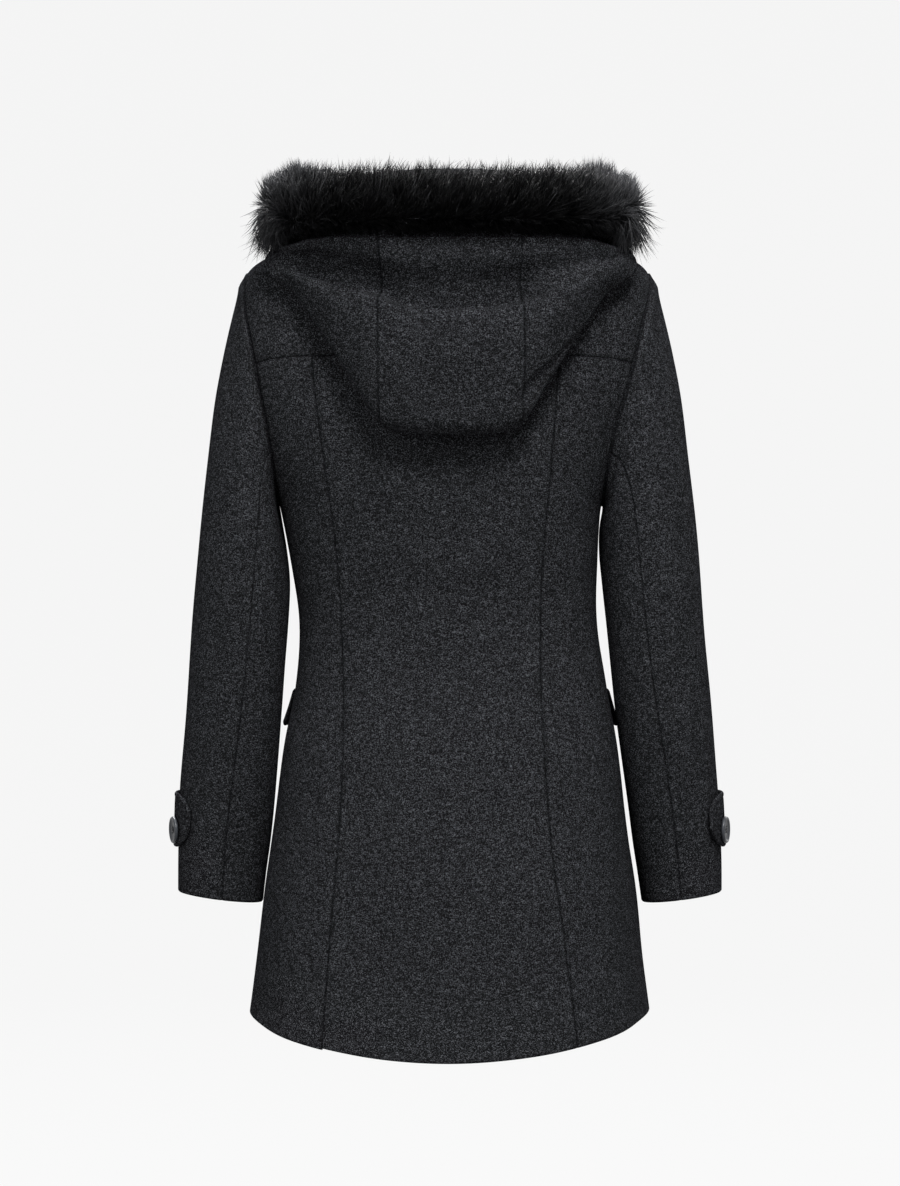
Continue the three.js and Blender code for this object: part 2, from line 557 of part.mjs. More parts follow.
// The hood's cloth where it stands up from the neck seam and rolls over outward.
function hoodStand(neckTurn, sign) {
  const edge = bodyPoint(sign * neckTurn * DEGREE, 0);
  const out = new THREE.Vector3(edge.x, edge.y, 0).normalize();
  const lap = sign < 0 && neckTurn > 90 ? lapLift(edge.x) : 0;
  const seat = (neckTurn > 90 ? 0.7 : 1) + lap;
  const stand = mix(HOOD_STAND.back, HOOD_STAND.front, smooth((neckTurn - 80) / 80));
  const narrow = mix(1, 0.22, smooth((neckTurn - 84) / 50));
  const [lean, roll] = [HOOD_STAND.lean * narrow, HOOD_STAND.roll * narrow];
  const crown = mix(9, 3, 1 - narrow);
  const from = (across, up) => edge.clone()
    .addScaledVector(out, CLOTH + 0.2 + across)
    .add(new THREE.Vector3(0, 0, seat + up));
  return [
    from(0, 0),
    from(lean * 0.3, stand * 0.45),
    from(lean, stand * 0.9),
    from(lean + roll * 0.22, stand * 0.9 + crown - 1),
    from(lean + roll * 0.62, stand * 0.9 + crown),
    from(lean + roll, stand * 0.9 - 2),
  ];
}

// One line of the hood's cloth, from the neck seam over the roll, down along the body, round the fold
// and up to the fur. These are points on the side that faces the body.
function hoodLine(row, sign) {
  const { neckTurn, foldX, foldZ, bag, rimTurn } = HOOD_ROWS[row];
  const standing = hoodStand(neckTurn, sign);
  const section = furSection(row, sign);
  const onShoulder = row > 4; // there the roll bends sharply and the cloth stands off it a little
  const rim = section(rimTurn, SEAM + (onShoulder ? 2.6 : 0.2));
  if (bag === 0) {
    const low = section(rimTurn, HOOD_LIE.turnIn);
    const down = steps(12).slice(1).map((share) => (
      standing.at(-1).clone().lerp(low, share).lerp(low.clone().lerp(rim, share), share)
    ));
    return [...standing, ...down];
  }
  const place = placeOnBody({ x: sign * foldX, z: foldZ }, (sign * foldX) / 170, rowWhere(BODY_RINGS, 'backZ', foldZ));
  const [onNeck, onFold, foldRing] = [sign * neckTurn * DEGREE, place.turn, place.ring];
  const lying = [0.25, 0.5, 0.75, 0.95].map((share) => aboveBody(
    mix(onNeck, onFold, share),
    mix(1, foldRing - 0.02, share),
    HOOD_LIE.clear + HOOD_LIE.spring * (1 - share) ** 2,
  ));
  const fold = aboveBody(onFold, foldRing, bag * 0.5 + 1);
  const turned = aboveBody(onFold, foldRing - 0.12, bag);
  const away = bodyNormal(onFold, foldRing).setZ(0).normalize();
  const depth = clamp01((bag - 12) / 18);
  const hanging = [0.22, 0.44, 0.6, 0.74, 0.88].map((share) => {
    const bulge = HOOD_LIE.bulge * Math.sin(HALF_TURN * share);
    const trough = HOOD_LIE.trough * Math.exp(-(((share - HOOD_LIE.troughAt) / 0.12) ** 2));
    return turned.clone().lerp(rim, share).addScaledVector(away, (bulge - trough) * depth);
  });
  return [...standing, ...lying, fold, turned, ...hanging, rim];
}

// The whole hood as a grid of corners, from the right front to the left front.
function hoodGrid() {
  const rows = HOOD_ROWS.map((_, row) => row);
  const lines = [
    ...rows.slice(1).reverse().map((row) => hoodLine(row, -1)),
    ...rows.map((row) => hoodLine(row, 1)),
  ];
  const count = lines.length;
  const length = lines[0].length;
  return lines.map((line, i) => line.map((point, j) => {
    const along = lines[Math.min(count - 1, i + 1)][j].clone().sub(lines[Math.max(0, i - 1)][j]);
    const down = line[Math.min(length - 1, j + 1)].clone().sub(line[Math.max(0, j - 1)]);
    const normal = along.cross(down).normalize();
    return { outer: point, inner: point.clone().addScaledVector(normal, CLOTH) };
  }));
}

const hoodColumns = hoodGrid();
const hoodPanel = (from, to) => wall(hoodColumns.slice(from, to + 1));
const hoodMiddle = HOOD_ROWS.length - 1;

// A flap over a pocket, from the side towards the front, standing off more at its lower edge.
function pocketFlap(side) {
  const sign = sideSign[side];
  const places = FLAP.heights.map((z, i) => steps(5).map((share) => ({
    turn: sign * mix(FLAP.sideTurn, FLAP.frontTurn, share) * DEGREE,
    ring: rowWhere(BODY_RINGS, 'sideZ', z + FLAP.slope * (share - 0.5)),
    rise: FLAP.standOff[i] + FLAP.endStandOff * (1 - share) ** 2 * (i / (FLAP.heights.length - 1)),
  })));
  return bodyPanel(places, (place) => place.rise);
}

// A tab round the outer side of the cuff, with a rounded end towards the back.
function cuffTab(side) {
  const rowAt = (stop, z) => {
    let [low, high] = [6, CUFF_RING];
    for (let round = 0; round < 30; round += 1) {
      const row = (low + high) / 2;
      if (sleevePoint(side, stop, row).z > z) low = row;
      else high = row;
    }
    return low;
  };
  const grid = CUFF_TAB.stops.map((stop, i) => steps(3).map((share) => {
    const half = CUFF_TAB.halfWidths[i];
    const row = rowAt(stop, CUFF_TAB.middleZ + mix(half, -half, share));
    return {
      outer: aboveSleeve(side, stop, row, CUFF_TAB.rise + CLOTH),
      inner: aboveSleeve(side, stop, row, CUFF_TAB.rise),
    };
  }));
  return wall(grid);
}

const circle = (x, y, radius, corners) => steps(corners).slice(0, -1).map((share) => new THREE.Vector2(
  x + radius * Math.cos(share * 2 * HALF_TURN),
  y + radius * Math.sin(share * 2 * HALF_TURN),
));

// A round button with four holes, lying on the tab and facing out.
function cuffButton(side) {
  const { radius, thickness, holeRadius, holeOffset, stop, row } = BUTTON;
  const shape = new THREE.Shape(circle(0, 0, radius, 20));
  for (const [x, y] of [[1, 1], [1, -1], [-1, 1], [-1, -1]]) {
    shape.holes.push(new THREE.Path(circle(x * holeOffset, y * holeOffset, holeRadius, 6).reverse()));
  }
  const geometry = new THREE.ExtrudeGeometry(shape, { depth: thickness, bevelEnabled: false });
  geometry.deleteAttribute('uv');
  geometry.deleteAttribute('normal');
  const normal = sleeveNormal(side, stop, row);
  geometry.applyQuaternion(new THREE.Quaternion().setFromUnitVectors(new THREE.Vector3(0, 0, 1), normal));
  const seat = aboveSleeve(side, stop, row, BUTTON.seat);
  geometry.translate(...seat.toArray());
  return facingOut(mergeVertices(geometry, 1e-3));
}

// A point over the closed fronts: across, down and out from the cloth.
function frontPoint(x, z, height) {
  let ring = rowWhere(BODY_RINGS, 'frontZ', z);
  let place = frontPlace(x, ring);
  for (let round = 0; round < 6; round += 1) {
    ring += (bodyPoint(place.turn, ring).z - z) / 70;
    place = frontPlace(x, ring);
  }
  const lift = lapLift(x) * (1 - smooth((x - FRONT_EDGE.over - 6) / 12));
  return aboveBody(place.turn, place.ring, height + lift);
}

// A small patch that holds a cord to the front.
function patch(fromX, toX, z) {
  const grid = [-1, 1].map((down) => [fromX, (fromX + toX) / 2, toX].map((x) => ({
    outer: frontPoint(x, z - down * CLOSURE.patchHalf, CLOSURE.patchSeat + CLOSURE.leather),
    inner: frontPoint(x, z - down * CLOSURE.patchHalf, CLOSURE.patchSeat),
  })));
  return wall(grid);
}

// A cord along a list of points.
function cord(points, radius) {
  const curve = new THREE.CatmullRomCurve3(points, false, 'centripetal');
  const count = points.length * 2;
  const frames = curve.computeFrenetFrames(count, false);
  return ringSolid(steps(count).map((share, i) => steps(6).slice(0, -1).map((turn) => (
    curve.getPoint(share)
      .addScaledVector(frames.normals[i], radius * Math.cos(turn * 2 * HALF_TURN))
      .addScaledVector(frames.binormals[i], radius * Math.sin(turn * 2 * HALF_TURN))
  ))));
}

function toggle(z) {
  const { length, profile, toggleHeight } = CLOSURE;
  return ringSolid(profile.map(({ along, radius }) => steps(8).slice(0, -1).map((turn) => {
    const angle = turn * 2 * HALF_TURN;
    const point = frontPoint(0, z, toggleHeight);
    return point.add(new THREE.Vector3(
      along * length / 2,
      radius * Math.cos(angle),
      radius * Math.sin(angle),
    ));
  })));
}

// The loop runs from its patch round behind the toggle's middle and back.
function loop(z) {
  const { loopHalf, cordHeight, loopPatchX, loopEndX } = CLOSURE;
  const at = (x, down) => frontPoint(x, z + down, cordHeight);
  return cord([
    at(loopPatchX, loopHalf), at(30, loopHalf), at(loopEndX + 8, loopHalf),
    at(loopEndX, 0),
    at(loopEndX + 8, -loopHalf), at(30, -loopHalf), at(loopPatchX, -loopHalf),
  ], CLOSURE.cordRadius);
}

const MATERIALS = {
  wool_coating: new THREE.MeshStandardMaterial({ name: 'wool_coating', color: 0x2a2b2f, roughness: 0.95 }),
  faux_fur: new THREE.MeshStandardMaterial({ name: 'faux_fur', color: 0x08080a, roughness: 0.8 }),
  button_plastic: new THREE.MeshStandardMaterial({ name: 'button_plastic', color: 0x141416, roughness: 0.5 }),
  toggle_horn: new THREE.MeshStandardMaterial({ name: 'toggle_horn', color: 0x1c1512, roughness: 0.45 }),
  cord: new THREE.MeshStandardMaterial({ name: 'cord', color: 0x101012, roughness: 0.85 }),
  patch_leather: new THREE.MeshStandardMaterial({ name: 'patch_leather', color: 0x141314, roughness: 0.6 }),
};

const coat = new THREE.Group();
coat.name = 'duffle_coat';
function add(name, geometry, material) {
  const mesh = new THREE.Mesh(geometry, MATERIALS[material]);
  mesh.name = name;
  coat.add(mesh);
}

add('yoke', yoke(), 'wool_coating');
add('back_centre', backCentre(), 'wool_coating');
for (const side of ['left', 'right']) {
  add(`back_side_${side}`, backSide(side), 'wool_coating');
  add(`front_${side}`, front(side), 'wool_coating');
  add(`top_sleeve_${side}`, sleeve(side, topStops), 'wool_coating');
  add(`under_sleeve_${side}`, sleeve(side, underStops), 'wool_coating');
  add(`pocket_flap_${side}`, pocketFlap(side), 'wool_coating');
  add(`cuff_tab_${side}`, cuffTab(side), 'wool_coating');
  add(`cuff_button_${side}`, cuffButton(side), 'button_plastic');
}
add('hood_side_right', hoodPanel(0, hoodMiddle - HOOD_SEAM_ROW), 'wool_coating');
add('hood_centre', hoodPanel(hoodMiddle - HOOD_SEAM_ROW, hoodMiddle + HOOD_SEAM_ROW), 'wool_coating');
add('hood_side_left', hoodPanel(hoodMiddle + HOOD_SEAM_ROW, 2 * hoodMiddle), 'wool_coating');
add('fur_edge', furEdge(), 'faux_fur');
CLOSURE.heights.forEach((z, i) => {
  add(`toggle_${i + 1}`, toggle(z), 'toggle_horn');
  add(`loop_${i + 1}`, loop(z), 'cord');
  add(`loop_patch_${i + 1}`, patch(CLOSURE.loopPatchX + 1, CLOSURE.loopPatchX + 31, z), 'patch_leather');
  add(`toggle_patch_${i + 1}`, patch(-CLOSURE.togglePatchX - 30, -CLOSURE.togglePatchX, z), 'patch_leather');
});

export default coat;
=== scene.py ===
# The looks of a hooded duffle coat in charcoal wool melange with a thick black fur edge.
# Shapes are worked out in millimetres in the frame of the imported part, and turned into metres as meshes are made.
import math

import bpy
import numpy as np
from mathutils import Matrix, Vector


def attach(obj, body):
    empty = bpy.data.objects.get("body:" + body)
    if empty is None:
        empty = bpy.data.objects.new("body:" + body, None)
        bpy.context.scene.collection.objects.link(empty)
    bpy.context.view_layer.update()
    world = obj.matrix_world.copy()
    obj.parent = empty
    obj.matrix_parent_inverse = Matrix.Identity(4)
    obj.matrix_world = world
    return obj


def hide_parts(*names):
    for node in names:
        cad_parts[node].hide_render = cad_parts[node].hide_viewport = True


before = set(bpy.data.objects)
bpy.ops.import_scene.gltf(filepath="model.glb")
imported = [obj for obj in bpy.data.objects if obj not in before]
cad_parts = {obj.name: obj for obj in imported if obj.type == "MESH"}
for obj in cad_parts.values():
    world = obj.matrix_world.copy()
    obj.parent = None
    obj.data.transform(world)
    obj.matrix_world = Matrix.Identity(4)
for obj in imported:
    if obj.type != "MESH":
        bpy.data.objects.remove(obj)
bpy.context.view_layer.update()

MM = 0.001
CLOTH = 3.0  # wool coating with its fused backing
DEGREE = math.pi / 180
QUARTER = math.pi / 2
SIDE_SIGN = {"left": 1, "right": -1}


def table(names, rows):
    return dict(zip(names.split(), np.array(rows, float).T))


# The body, one row for each ring from the neck seam down to the hem.
BODY = table("side_z half_width back_z back_y front_z front_y square shift", [
    (8, 76, 10, 52, -70, 84, 2.0, 0),
    (-8, 112, -6, 68, -82, 90, 2.1, 0.5),
    (-22, 150, -24, 79, -96, 96, 2.3, 1),
    (-36, 184, -45, 89, -112, 102, 2.5, 1.5),
    (-50, 200, -68, 97, -131, 108, 2.7, 2),
    (-70, 204, -92, 102, -151, 114, 2.9, 3),
    (-98, 204, -118, 106, -173, 119, 3.0, 5),
    (-157, 197, -165, 110, -211, 125, 3.0, 6),
    (-218, 180, -220, 110, -250, 126, 2.8, 9),
    (-283, 160, -283, 105, -292, 123, 2.6, 9),
    (-347, 151.5, -347, 96, -350, 114, 2.4, 5),
    (-400, 148.5, -400, 92, -400, 109, 2.3, 1.5),
    (-460, 155, -460, 98, -460, 112, 2.3, -1),
    (-520, 166, -520, 111, -520, 120, 2.3, -0.5),
    (-590, 174.5, -590, 123, -590, 128, 2.2, 0),
    (-660, 184, -660, 133, -660, 135, 2.2, 0.5),
    (-730, 192, -736, 141, -733, 142, 2.2, 1),
    (-786, 199, -817, 150, -802, 148, 2.2, 1.5),
])
HEM_RING = len(BODY["side_z"]) - 1

# The armhole seen from the side, and the back panel seams: distance from the middle at each height.
HOLE_Z, HOLE_HALF, HOLE_BACK, HOLE_FRONT = -165.5, 117.5, 66, 70
BACK_SEAMS = table("z left right", [
    (-140, 134, 105), (-240, 123, 99), (-345, 110, 90), (-430, 105.5, 88.5),
    (-520, 104.5, 92), (-610, 109, 98), (-700, 116.5, 110), (-812, 124, 123),
])
YOKE_MIDDLE_Z = -137
SIDE_PANEL_DROP = 0.043
UNDER_EDGE, OVER_EDGE = -22, 28
LAP_LIFT, LAP_START, LAP_FULL = CLOTH + 0.5, -54.7, -23

SLEEVE = table("outer_x outer_z inner_x inner_z lean half_depth middle_y", [
    (208, -63, 161, -291, 9, 69, 0),
    (215, -90, 158, -306, 8.5, 68.5, 1),
    (224, -130, 156, -330, 6.5, 66, 3),
    (233, -178, 156, -360, 4, 62, 6),
    (240, -235, 158.5, -398, 3, 58, 8),
    (246.5, -297, 162, -440, 2.5, 54.5, 8),
    (252.5, -361, 166, -484, 1.5, 52, 5),
    (258, -427, 171, -530, 0, 50, 0),
    (264, -495, 176.5, -575, -1, 48, -7),
    (270.5, -567, 182, -617, -1.5, 46.5, -16),
    (273, -622, 187, -649, -2, 45.5, -23),
    (274, -668, 191, -679, -2.5, 45, -28),
])
CUFF_RING = len(SLEEVE["outer_x"]) - 1
OUTER_LEAN = 1.7
BACK_SEAM_STOP, FRONT_SEAM_STOP = 124, 233
SWING_HEAD, SWING_CUFF, SWING_SPREAD = 19, 9, 75

# The hood lying back, one row for each place along its face edge from the middle of the back to the front.
HOOD = table("fur_x fur_y fur_z reach up down tilt rim_turn neck_turn fold_x fold_z bag", [
    (0, 150, -2, 37, 37, 37, 0, -84, 0, 0, -214, 34),
    (34, 150, -2, 37, 37, 37, 0, -84, 14, 34, -213, 34),
    (68, 147, -2, 37, 38, 37, 0, -84, 28, 66, -203, 33),
    (98, 139, -1, 37, 38, 37, 0, -82, 39, 91, -166, 30),
    (128, 122, 1, 37, 39, 37, 2, -78, 49, 120, -121, 26),
    (145, 102, 3, 37, 40, 35, 5, -76, 57, 145, -84, 20),
    (154, 76, 10, 37, 35, 26, 10, -86, 66, 166, -53, 14),
    (157, 42, 15, 36, 32, 18, 18, -124, 78, 0, 0, 0),
    (148, 0, 9, 37, 36, 25, 21, -140, 90, 0, 0, 0),
    (131, -42, 9, 34, 34, 25, 16, -150, 110, 0, 0, 0),
    (102, -96, -16, 30, 32, 27, 8, -155, 134, 0, 0, 0),
    (52, -128, -55, 29, 30, 29, 0, -160, 158, 0, 0, 0),
])
HOOD_LAST = len(HOOD["bag"]) - 1
HOOD_SEAM_ROW = 2


def mix(a, b, share):
    return a + (b - a) * share


def smooth(value):
    value = np.clip(value, 0, 1)
    return value * value * (3 - 2 * value)


def unit(vectors):
    return vectors / np.maximum(np.linalg.norm(vectors, axis=-1, keepdims=True), 1e-9)


def through(rows, column, at):
    """A smooth curve through one column of a table, at fractional rows."""
    values = rows[column]
    at = np.asarray(at, float)
    last = len(values) - 1
    i = np.clip(np.floor(at).astype(int), 0, last - 1)
    f = at - i
    a, b, c, d = (values[np.clip(i + k, 0, last)] for k in (-1, 0, 1, 2))
    return b + 0.5 * f * (c - a + f * (2 * a - 5 * b + 4 * c - d + f * (3 * (b - c) + d - a)))


def row_where(rows, column, value):
    """The fractional row where a column that only rises or only falls reaches a value."""
    values = rows[column]
    rising = 1 if values[-1] > values[0] else -1
    return np.interp(rising * np.asarray(value, float), rising * values, np.arange(len(values)))


def body_point(turn, ring):
    turn, ring = np.broadcast_arrays(np.asarray(turn, float), np.asarray(ring, float))
    across, along = np.sin(turn), np.cos(turn)
    square = through(BODY, "square", ring)
    reach = (np.abs(across) ** square + np.abs(along) ** square) ** (-1 / square)
    back = along > 0
    depth = np.where(back, through(BODY, "back_y", ring), through(BODY, "front_y", ring))
    end_z = np.where(back, through(BODY, "back_z", ring), through(BODY, "front_z", ring))
    return np.stack([
        through(BODY, "shift", ring) + through(BODY, "half_width", ring) * reach * across,
        depth * reach * along,
        mix(through(BODY, "side_z", ring), end_z, along * along),
    ], -1)


def normal_of(surface, a, b, step_a=1e-3, step_b=1e-3):
    along_a = surface(a + step_a, b) - surface(a - step_a, b)
    along_b = surface(a, b + step_b) - surface(a, b - step_b)
    return unit(np.cross(along_a, along_b))


def above_body(turn, ring, height):
    turn, ring = np.broadcast_arrays(np.asarray(turn, float), np.asarray(ring, float))
    height = np.asarray(height, float)
    return body_point(turn, ring) + normal_of(body_point, turn, ring) * height[..., None]


def place_on_body(goal, turn, ring):
    """The places on the body with two given coordinates each, near a first guess."""
    (p, want_p), (q, want_q) = [("xyz".index(name), np.asarray(v, float)) for name, v in goal.items()]
    turn, ring, want_p, want_q = [np.array(v, float) for v in np.broadcast_arrays(turn, ring, want_p, want_q)]
    step = 1e-4
    for _ in range(30):
        here = body_point(turn, ring)
        by_turn = (body_point(turn + step, ring) - here) / step
        by_ring = (body_point(turn, ring + step) - here) / step
        miss_p, miss_q = want_p - here[..., p], want_q - here[..., q]
        scale = by_turn[..., p] * by_ring[..., q] - by_turn[..., q] * by_ring[..., p]
        turn = turn + np.clip((miss_p * by_ring[..., q] - miss_q * by_ring[..., p]) / scale, -0.2, 0.2)
        ring = ring + np.clip((miss_q * by_turn[..., p] - miss_p * by_turn[..., q]) / scale, -1, 1)
        ring = np.clip(ring, 0, HEM_RING)
    return turn, ring


def armhole_place(side, stop):
    angle = np.asarray(stop, float) * DEGREE
    depth = np.where(np.sin(angle) > 0, HOLE_BACK, HOLE_FRONT)
    y, z = depth * np.sin(angle), HOLE_Z + HOLE_HALF * np.cos(angle)
    lean = np.arcsin(np.clip(y / 140, -0.8, 0.8))
    return place_on_body({"y": y, "z": z}, SIDE_SIGN[side] * (QUARTER - lean), row_where(BODY, "side_z", z))


def front_turn(x, ring):
    """The turn on the front of the body at a distance across it."""
    x, ring = np.broadcast_arrays(np.asarray(x, float), np.asarray(ring, float))
    low, high = np.full(x.shape, QUARTER), np.full(x.shape, 1.5 * math.pi)
    for _ in range(40):
        turn = (low + high) / 2
        beyond = body_point(turn, ring)[..., 0] > x
        low, high = np.where(beyond, turn, low), np.where(beyond, high, turn)
    return low


yoke_middle_ring = float(place_on_body({"x": 0, "z": YOKE_MIDDLE_Z}, 0, 6)[1])
yoke_end_turn, yoke_end_ring = (float(v) for v in armhole_place("left", 79))
underarm_ring = float(armhole_place("left", 180)[1])


def yoke_seam_ring(turn):
    return mix(yoke_middle_ring, yoke_end_ring, (turn / yoke_end_turn) ** 2)


def back_seam_turn(side, ring):
    ring = np.asarray(ring, float)
    turn = np.full(ring.shape, SIDE_SIGN[side] * 0.6)
    for _ in range(40):
        point = body_point(turn, ring)
        across = through(BACK_SEAMS, side, row_where(BACK_SEAMS, "z", point[..., 2]))
        turn = turn + (SIDE_SIGN[side] * across - point[..., 0]) / 200
    return turn


def back_seam_top(side):
    turn = back_seam_turn(side, yoke_middle_ring)
    for _ in range(8):
        ring = yoke_seam_ring(turn)
        turn = back_seam_turn(side, ring)
    return float(turn), float(ring)


def refine(values, counts):
    """The values with each interval cut into equal parts."""
    values = np.asarray(values, float)
    counts = [counts] * (len(values) - 1) if np.isscalar(counts) else counts
    parts = [np.linspace(a, b, n, endpoint=False) for a, b, n in zip(values[:-1], values[1:], counts)]
    return np.append(np.concatenate(parts), values[-1])


EDGE_STEPS = np.array([0, 0.7, 1.6, 3.0, 5.2])


def edged(width, step=6.5):
    """Shares across a panel of a rough width, close together at both edges."""
    inner = np.linspace(EDGE_STEPS[-1], width - EDGE_STEPS[-1], max(3, int(round(width / step))))[1:-1]
    return np.concatenate([EDGE_STEPS, inner, width - EDGE_STEPS[::-1]]) / width


# Meshes

def new_object(name, points, faces, attributes=None):
    """A smooth-shaded mesh from points in millimetres and faces of one size."""
    faces = np.asarray(faces, np.int32)
    mesh = bpy.data.meshes.new(name)
    mesh.vertices.add(len(points))
    mesh.vertices.foreach_set("co", (np.asarray(points, float) * MM).astype(np.float32).ravel())
    mesh.loops.add(faces.size)
    mesh.loops.foreach_set("vertex_index", faces.ravel())
    mesh.polygons.add(len(faces))
    mesh.polygons.foreach_set("loop_start", np.arange(0, faces.size, faces.shape[1], dtype=np.int32))
    mesh.polygons.foreach_set("use_smooth", np.ones(len(faces), bool))
    mesh.update(calc_edges=True)
    for key, values in (attributes or {}).items():
        mesh.attributes.new(key, "FLOAT", "POINT").data.foreach_set("value", values.astype(np.float32).ravel())
    obj = bpy.data.objects.new(name, mesh)
    bpy.context.scene.collection.objects.link(obj)
    return obj


def grid_faces(rows, columns, start=0, wrap=False):
    i, j = np.meshgrid(np.arange(rows - 1), np.arange(columns if wrap else columns - 1), indexing="ij")
    nxt = (j + 1) % columns
    a, b = i * columns + j, i * columns + nxt
    return start + np.stack([a, b, b + columns, a + columns], -1).reshape(-1, 4)


def grid_normals(grid):
    return unit(np.cross(np.gradient(grid, axis=1), np.gradient(grid, axis=0)))


def edge_distances(grid):
    """For each point of a grid, how far it is along the cloth from the left, right, top and bottom edges."""
    across = np.linalg.norm(np.diff(grid, axis=1), axis=-1)
    down = np.linalg.norm(np.diff(grid, axis=0), axis=-1)
    from_left = np.concatenate([np.zeros((len(grid), 1)), np.cumsum(across, 1)], 1)
    from_top = np.concatenate([np.zeros((1, grid.shape[1])), np.cumsum(down, 0)], 0)
    return from_left, from_left[:, -1:] - from_left, from_top, from_top[-1:] - from_top


def closed_faces(rows, columns):
    """Faces of a sheet with an outer grid, an inner grid and a rim."""
    count = rows * columns
    outer = grid_faces(rows, columns)
    inner = grid_faces(rows, columns, count)[:, ::-1]
    top = np.arange(columns)
    bottom = top + (rows - 1) * columns
    left = np.arange(rows) * columns
    right = left + columns - 1

    def rim(line, flip):
        quads = np.stack([line[1:], line[:-1], line[:-1] + count, line[1:] + count], -1)
        return quads[:, ::-1] if flip else quads

    return np.concatenate([outer, inner, rim(top, False), rim(bottom, True), rim(left, True), rim(right, False)])


SEAM_DIP, SEAM_REACH = 1.0, 1.5
HEM_ROUND = 1.1


def shell(name, grid, outward, sewn="lrtb", relief=0, thickness=CLOTH, extra_seam=None):
    """A closed sheet of cloth on a grid of outer points. sewn lists the edges with a seam; the rest are folded edges."""
    normals = grid_normals(grid)
    if np.sum(normals * outward) < 0:
        grid = grid[:, ::-1]
        normals = -normals[:, ::-1]
        relief = relief[:, ::-1] if np.ndim(relief) else relief
        extra_seam = None if extra_seam is None else extra_seam[:, ::-1]
        sewn = sewn.translate(str.maketrans("lr", "rl"))
    distances = dict(zip("lrtb", edge_distances(grid)))
    dip, rounding, seam = np.zeros(grid.shape[:2]), np.zeros(grid.shape[:2]), np.zeros(grid.shape[:2])
    for key, distance in distances.items():
        if key in sewn:
            dip = np.maximum(dip, SEAM_DIP * np.exp(-(distance / SEAM_REACH) ** 2))
            seam = np.maximum(seam, np.exp(-(distance / 1.3) ** 2))
        else:
            rounding = np.maximum(rounding, HEM_ROUND * np.exp(-(distance / 0.8) ** 2))
    if extra_seam is not None:
        dip = np.maximum(dip, SEAM_DIP * extra_seam)
        seam = np.maximum(seam, extra_seam)
    height = relief - dip
    outer = grid + normals * (height - rounding)[..., None]
    inner = grid + normals * (relief - thickness + rounding)[..., None]
    points = np.concatenate([outer.reshape(-1, 3), inner.reshape(-1, 3)])
    seams = np.concatenate([seam.ravel(), seam.ravel() * 0.4])
    return new_object(name, points, closed_faces(*grid.shape[:2]), {"seam": seams})


def along_line(points, line):
    """Each point's distance from a polyline, and how far along the line its nearest place is, from 0 to 1."""
    line = np.asarray(line, float)
    pieces = np.diff(line, axis=0)
    lengths = np.linalg.norm(pieces, axis=1)
    starts = np.concatenate([[0], np.cumsum(lengths)])
    best = np.full(points.shape[:-1], np.inf)
    where = np.zeros(points.shape[:-1])
    for a, piece, length, start in zip(line[:-1], pieces, lengths, starts):
        share = np.clip(((points - a) @ piece) / length ** 2, 0, 1)
        distance = np.linalg.norm(points - a - share[..., None] * piece, axis=-1)
        nearer = distance < best
        best = np.where(nearer, distance, best)
        where = np.where(nearer, (start + share * length) / starts[-1], where)
    return best, where


def folds(points, rows, mask=None):
    """Soft troughs and ridges. Each row: width, height, then the line's points. The ends fade out."""
    total = np.zeros(points.shape[:-1])
    for width, height, line in rows:
        flat = len(line[0]) == 2
        seen = points[..., [0, 2]] if flat else points
        distance, where = along_line(seen, line)
        fade = smooth(where * 3.2) * smooth((1 - where) * 3.2)
        total += height * np.exp(-(distance / width) ** 2) * fade
    return total if mask is None else total * mask


def swell(points, seed, size, height):
    """Slow unevenness of hanging cloth: a few sine waves in fixed random directions."""
    rng = np.random.default_rng(seed)
    total = np.zeros(points.shape[:-1])
    for _ in range(5):
        direction = rng.normal(size=3)
        direction *= rng.uniform(0.6, 1.4) * 2 * math.pi / (size * np.linalg.norm(direction))
        total += np.sin(points @ direction + rng.uniform(0, 2 * math.pi))
    return total * height / 5


# Body panels

SIDE_RING_SHARES = [0.13, 0.27, 0.4, 0.52, 0.64, 0.76, 0.88, 1]
side_rings = [mix(underarm_ring, HEM_RING, s) for s in SIDE_RING_SHARES]
HOLE_PARTS, SIDE_PARTS = 6, 11


def seam_rows(top):
    """Rings of a back seam's rows, from the yoke seam to the hem."""
    low = underarm_ring + 0.35
    return refine([*(mix(top, low, i / 6) for i in range(7)),
                   *(mix(low, HEM_RING, s) for s in (0.15, 0.29, 0.42, 0.54, 0.66, 0.77, 0.885, 1))],
                  [HOLE_PARTS] * 6 + [SIDE_PARTS] * 8)


def hem_rows(values):
    """The same rows with a few more close to the last one, for the folded hem."""
    gap = values[-1] - values[-2]
    return np.concatenate([values[:-1], values[-1] - gap * np.array([0.5, 0.25, 0.1]), values[-1:]])


def with_hem(array):
    """Adds the rows of hem_rows to a grid whose last two rows are known."""
    last, before = array[-1], array[-2]
    return np.concatenate([array[:-1], [mix(last, before, s) for s in (0.5, 0.25, 0.1)], [last]])


def skirt_flutes(points):
    """Soft lengthwise waves that grow towards the hem."""
    turn = np.arctan2(points[..., 0], points[..., 1])
    grow = smooth((-points[..., 2] - 430) / 380)
    return grow * (1.7 * np.sin(turn * 7 + 0.8) + 1.1 * np.sin(turn * 12.3 + 2.1))


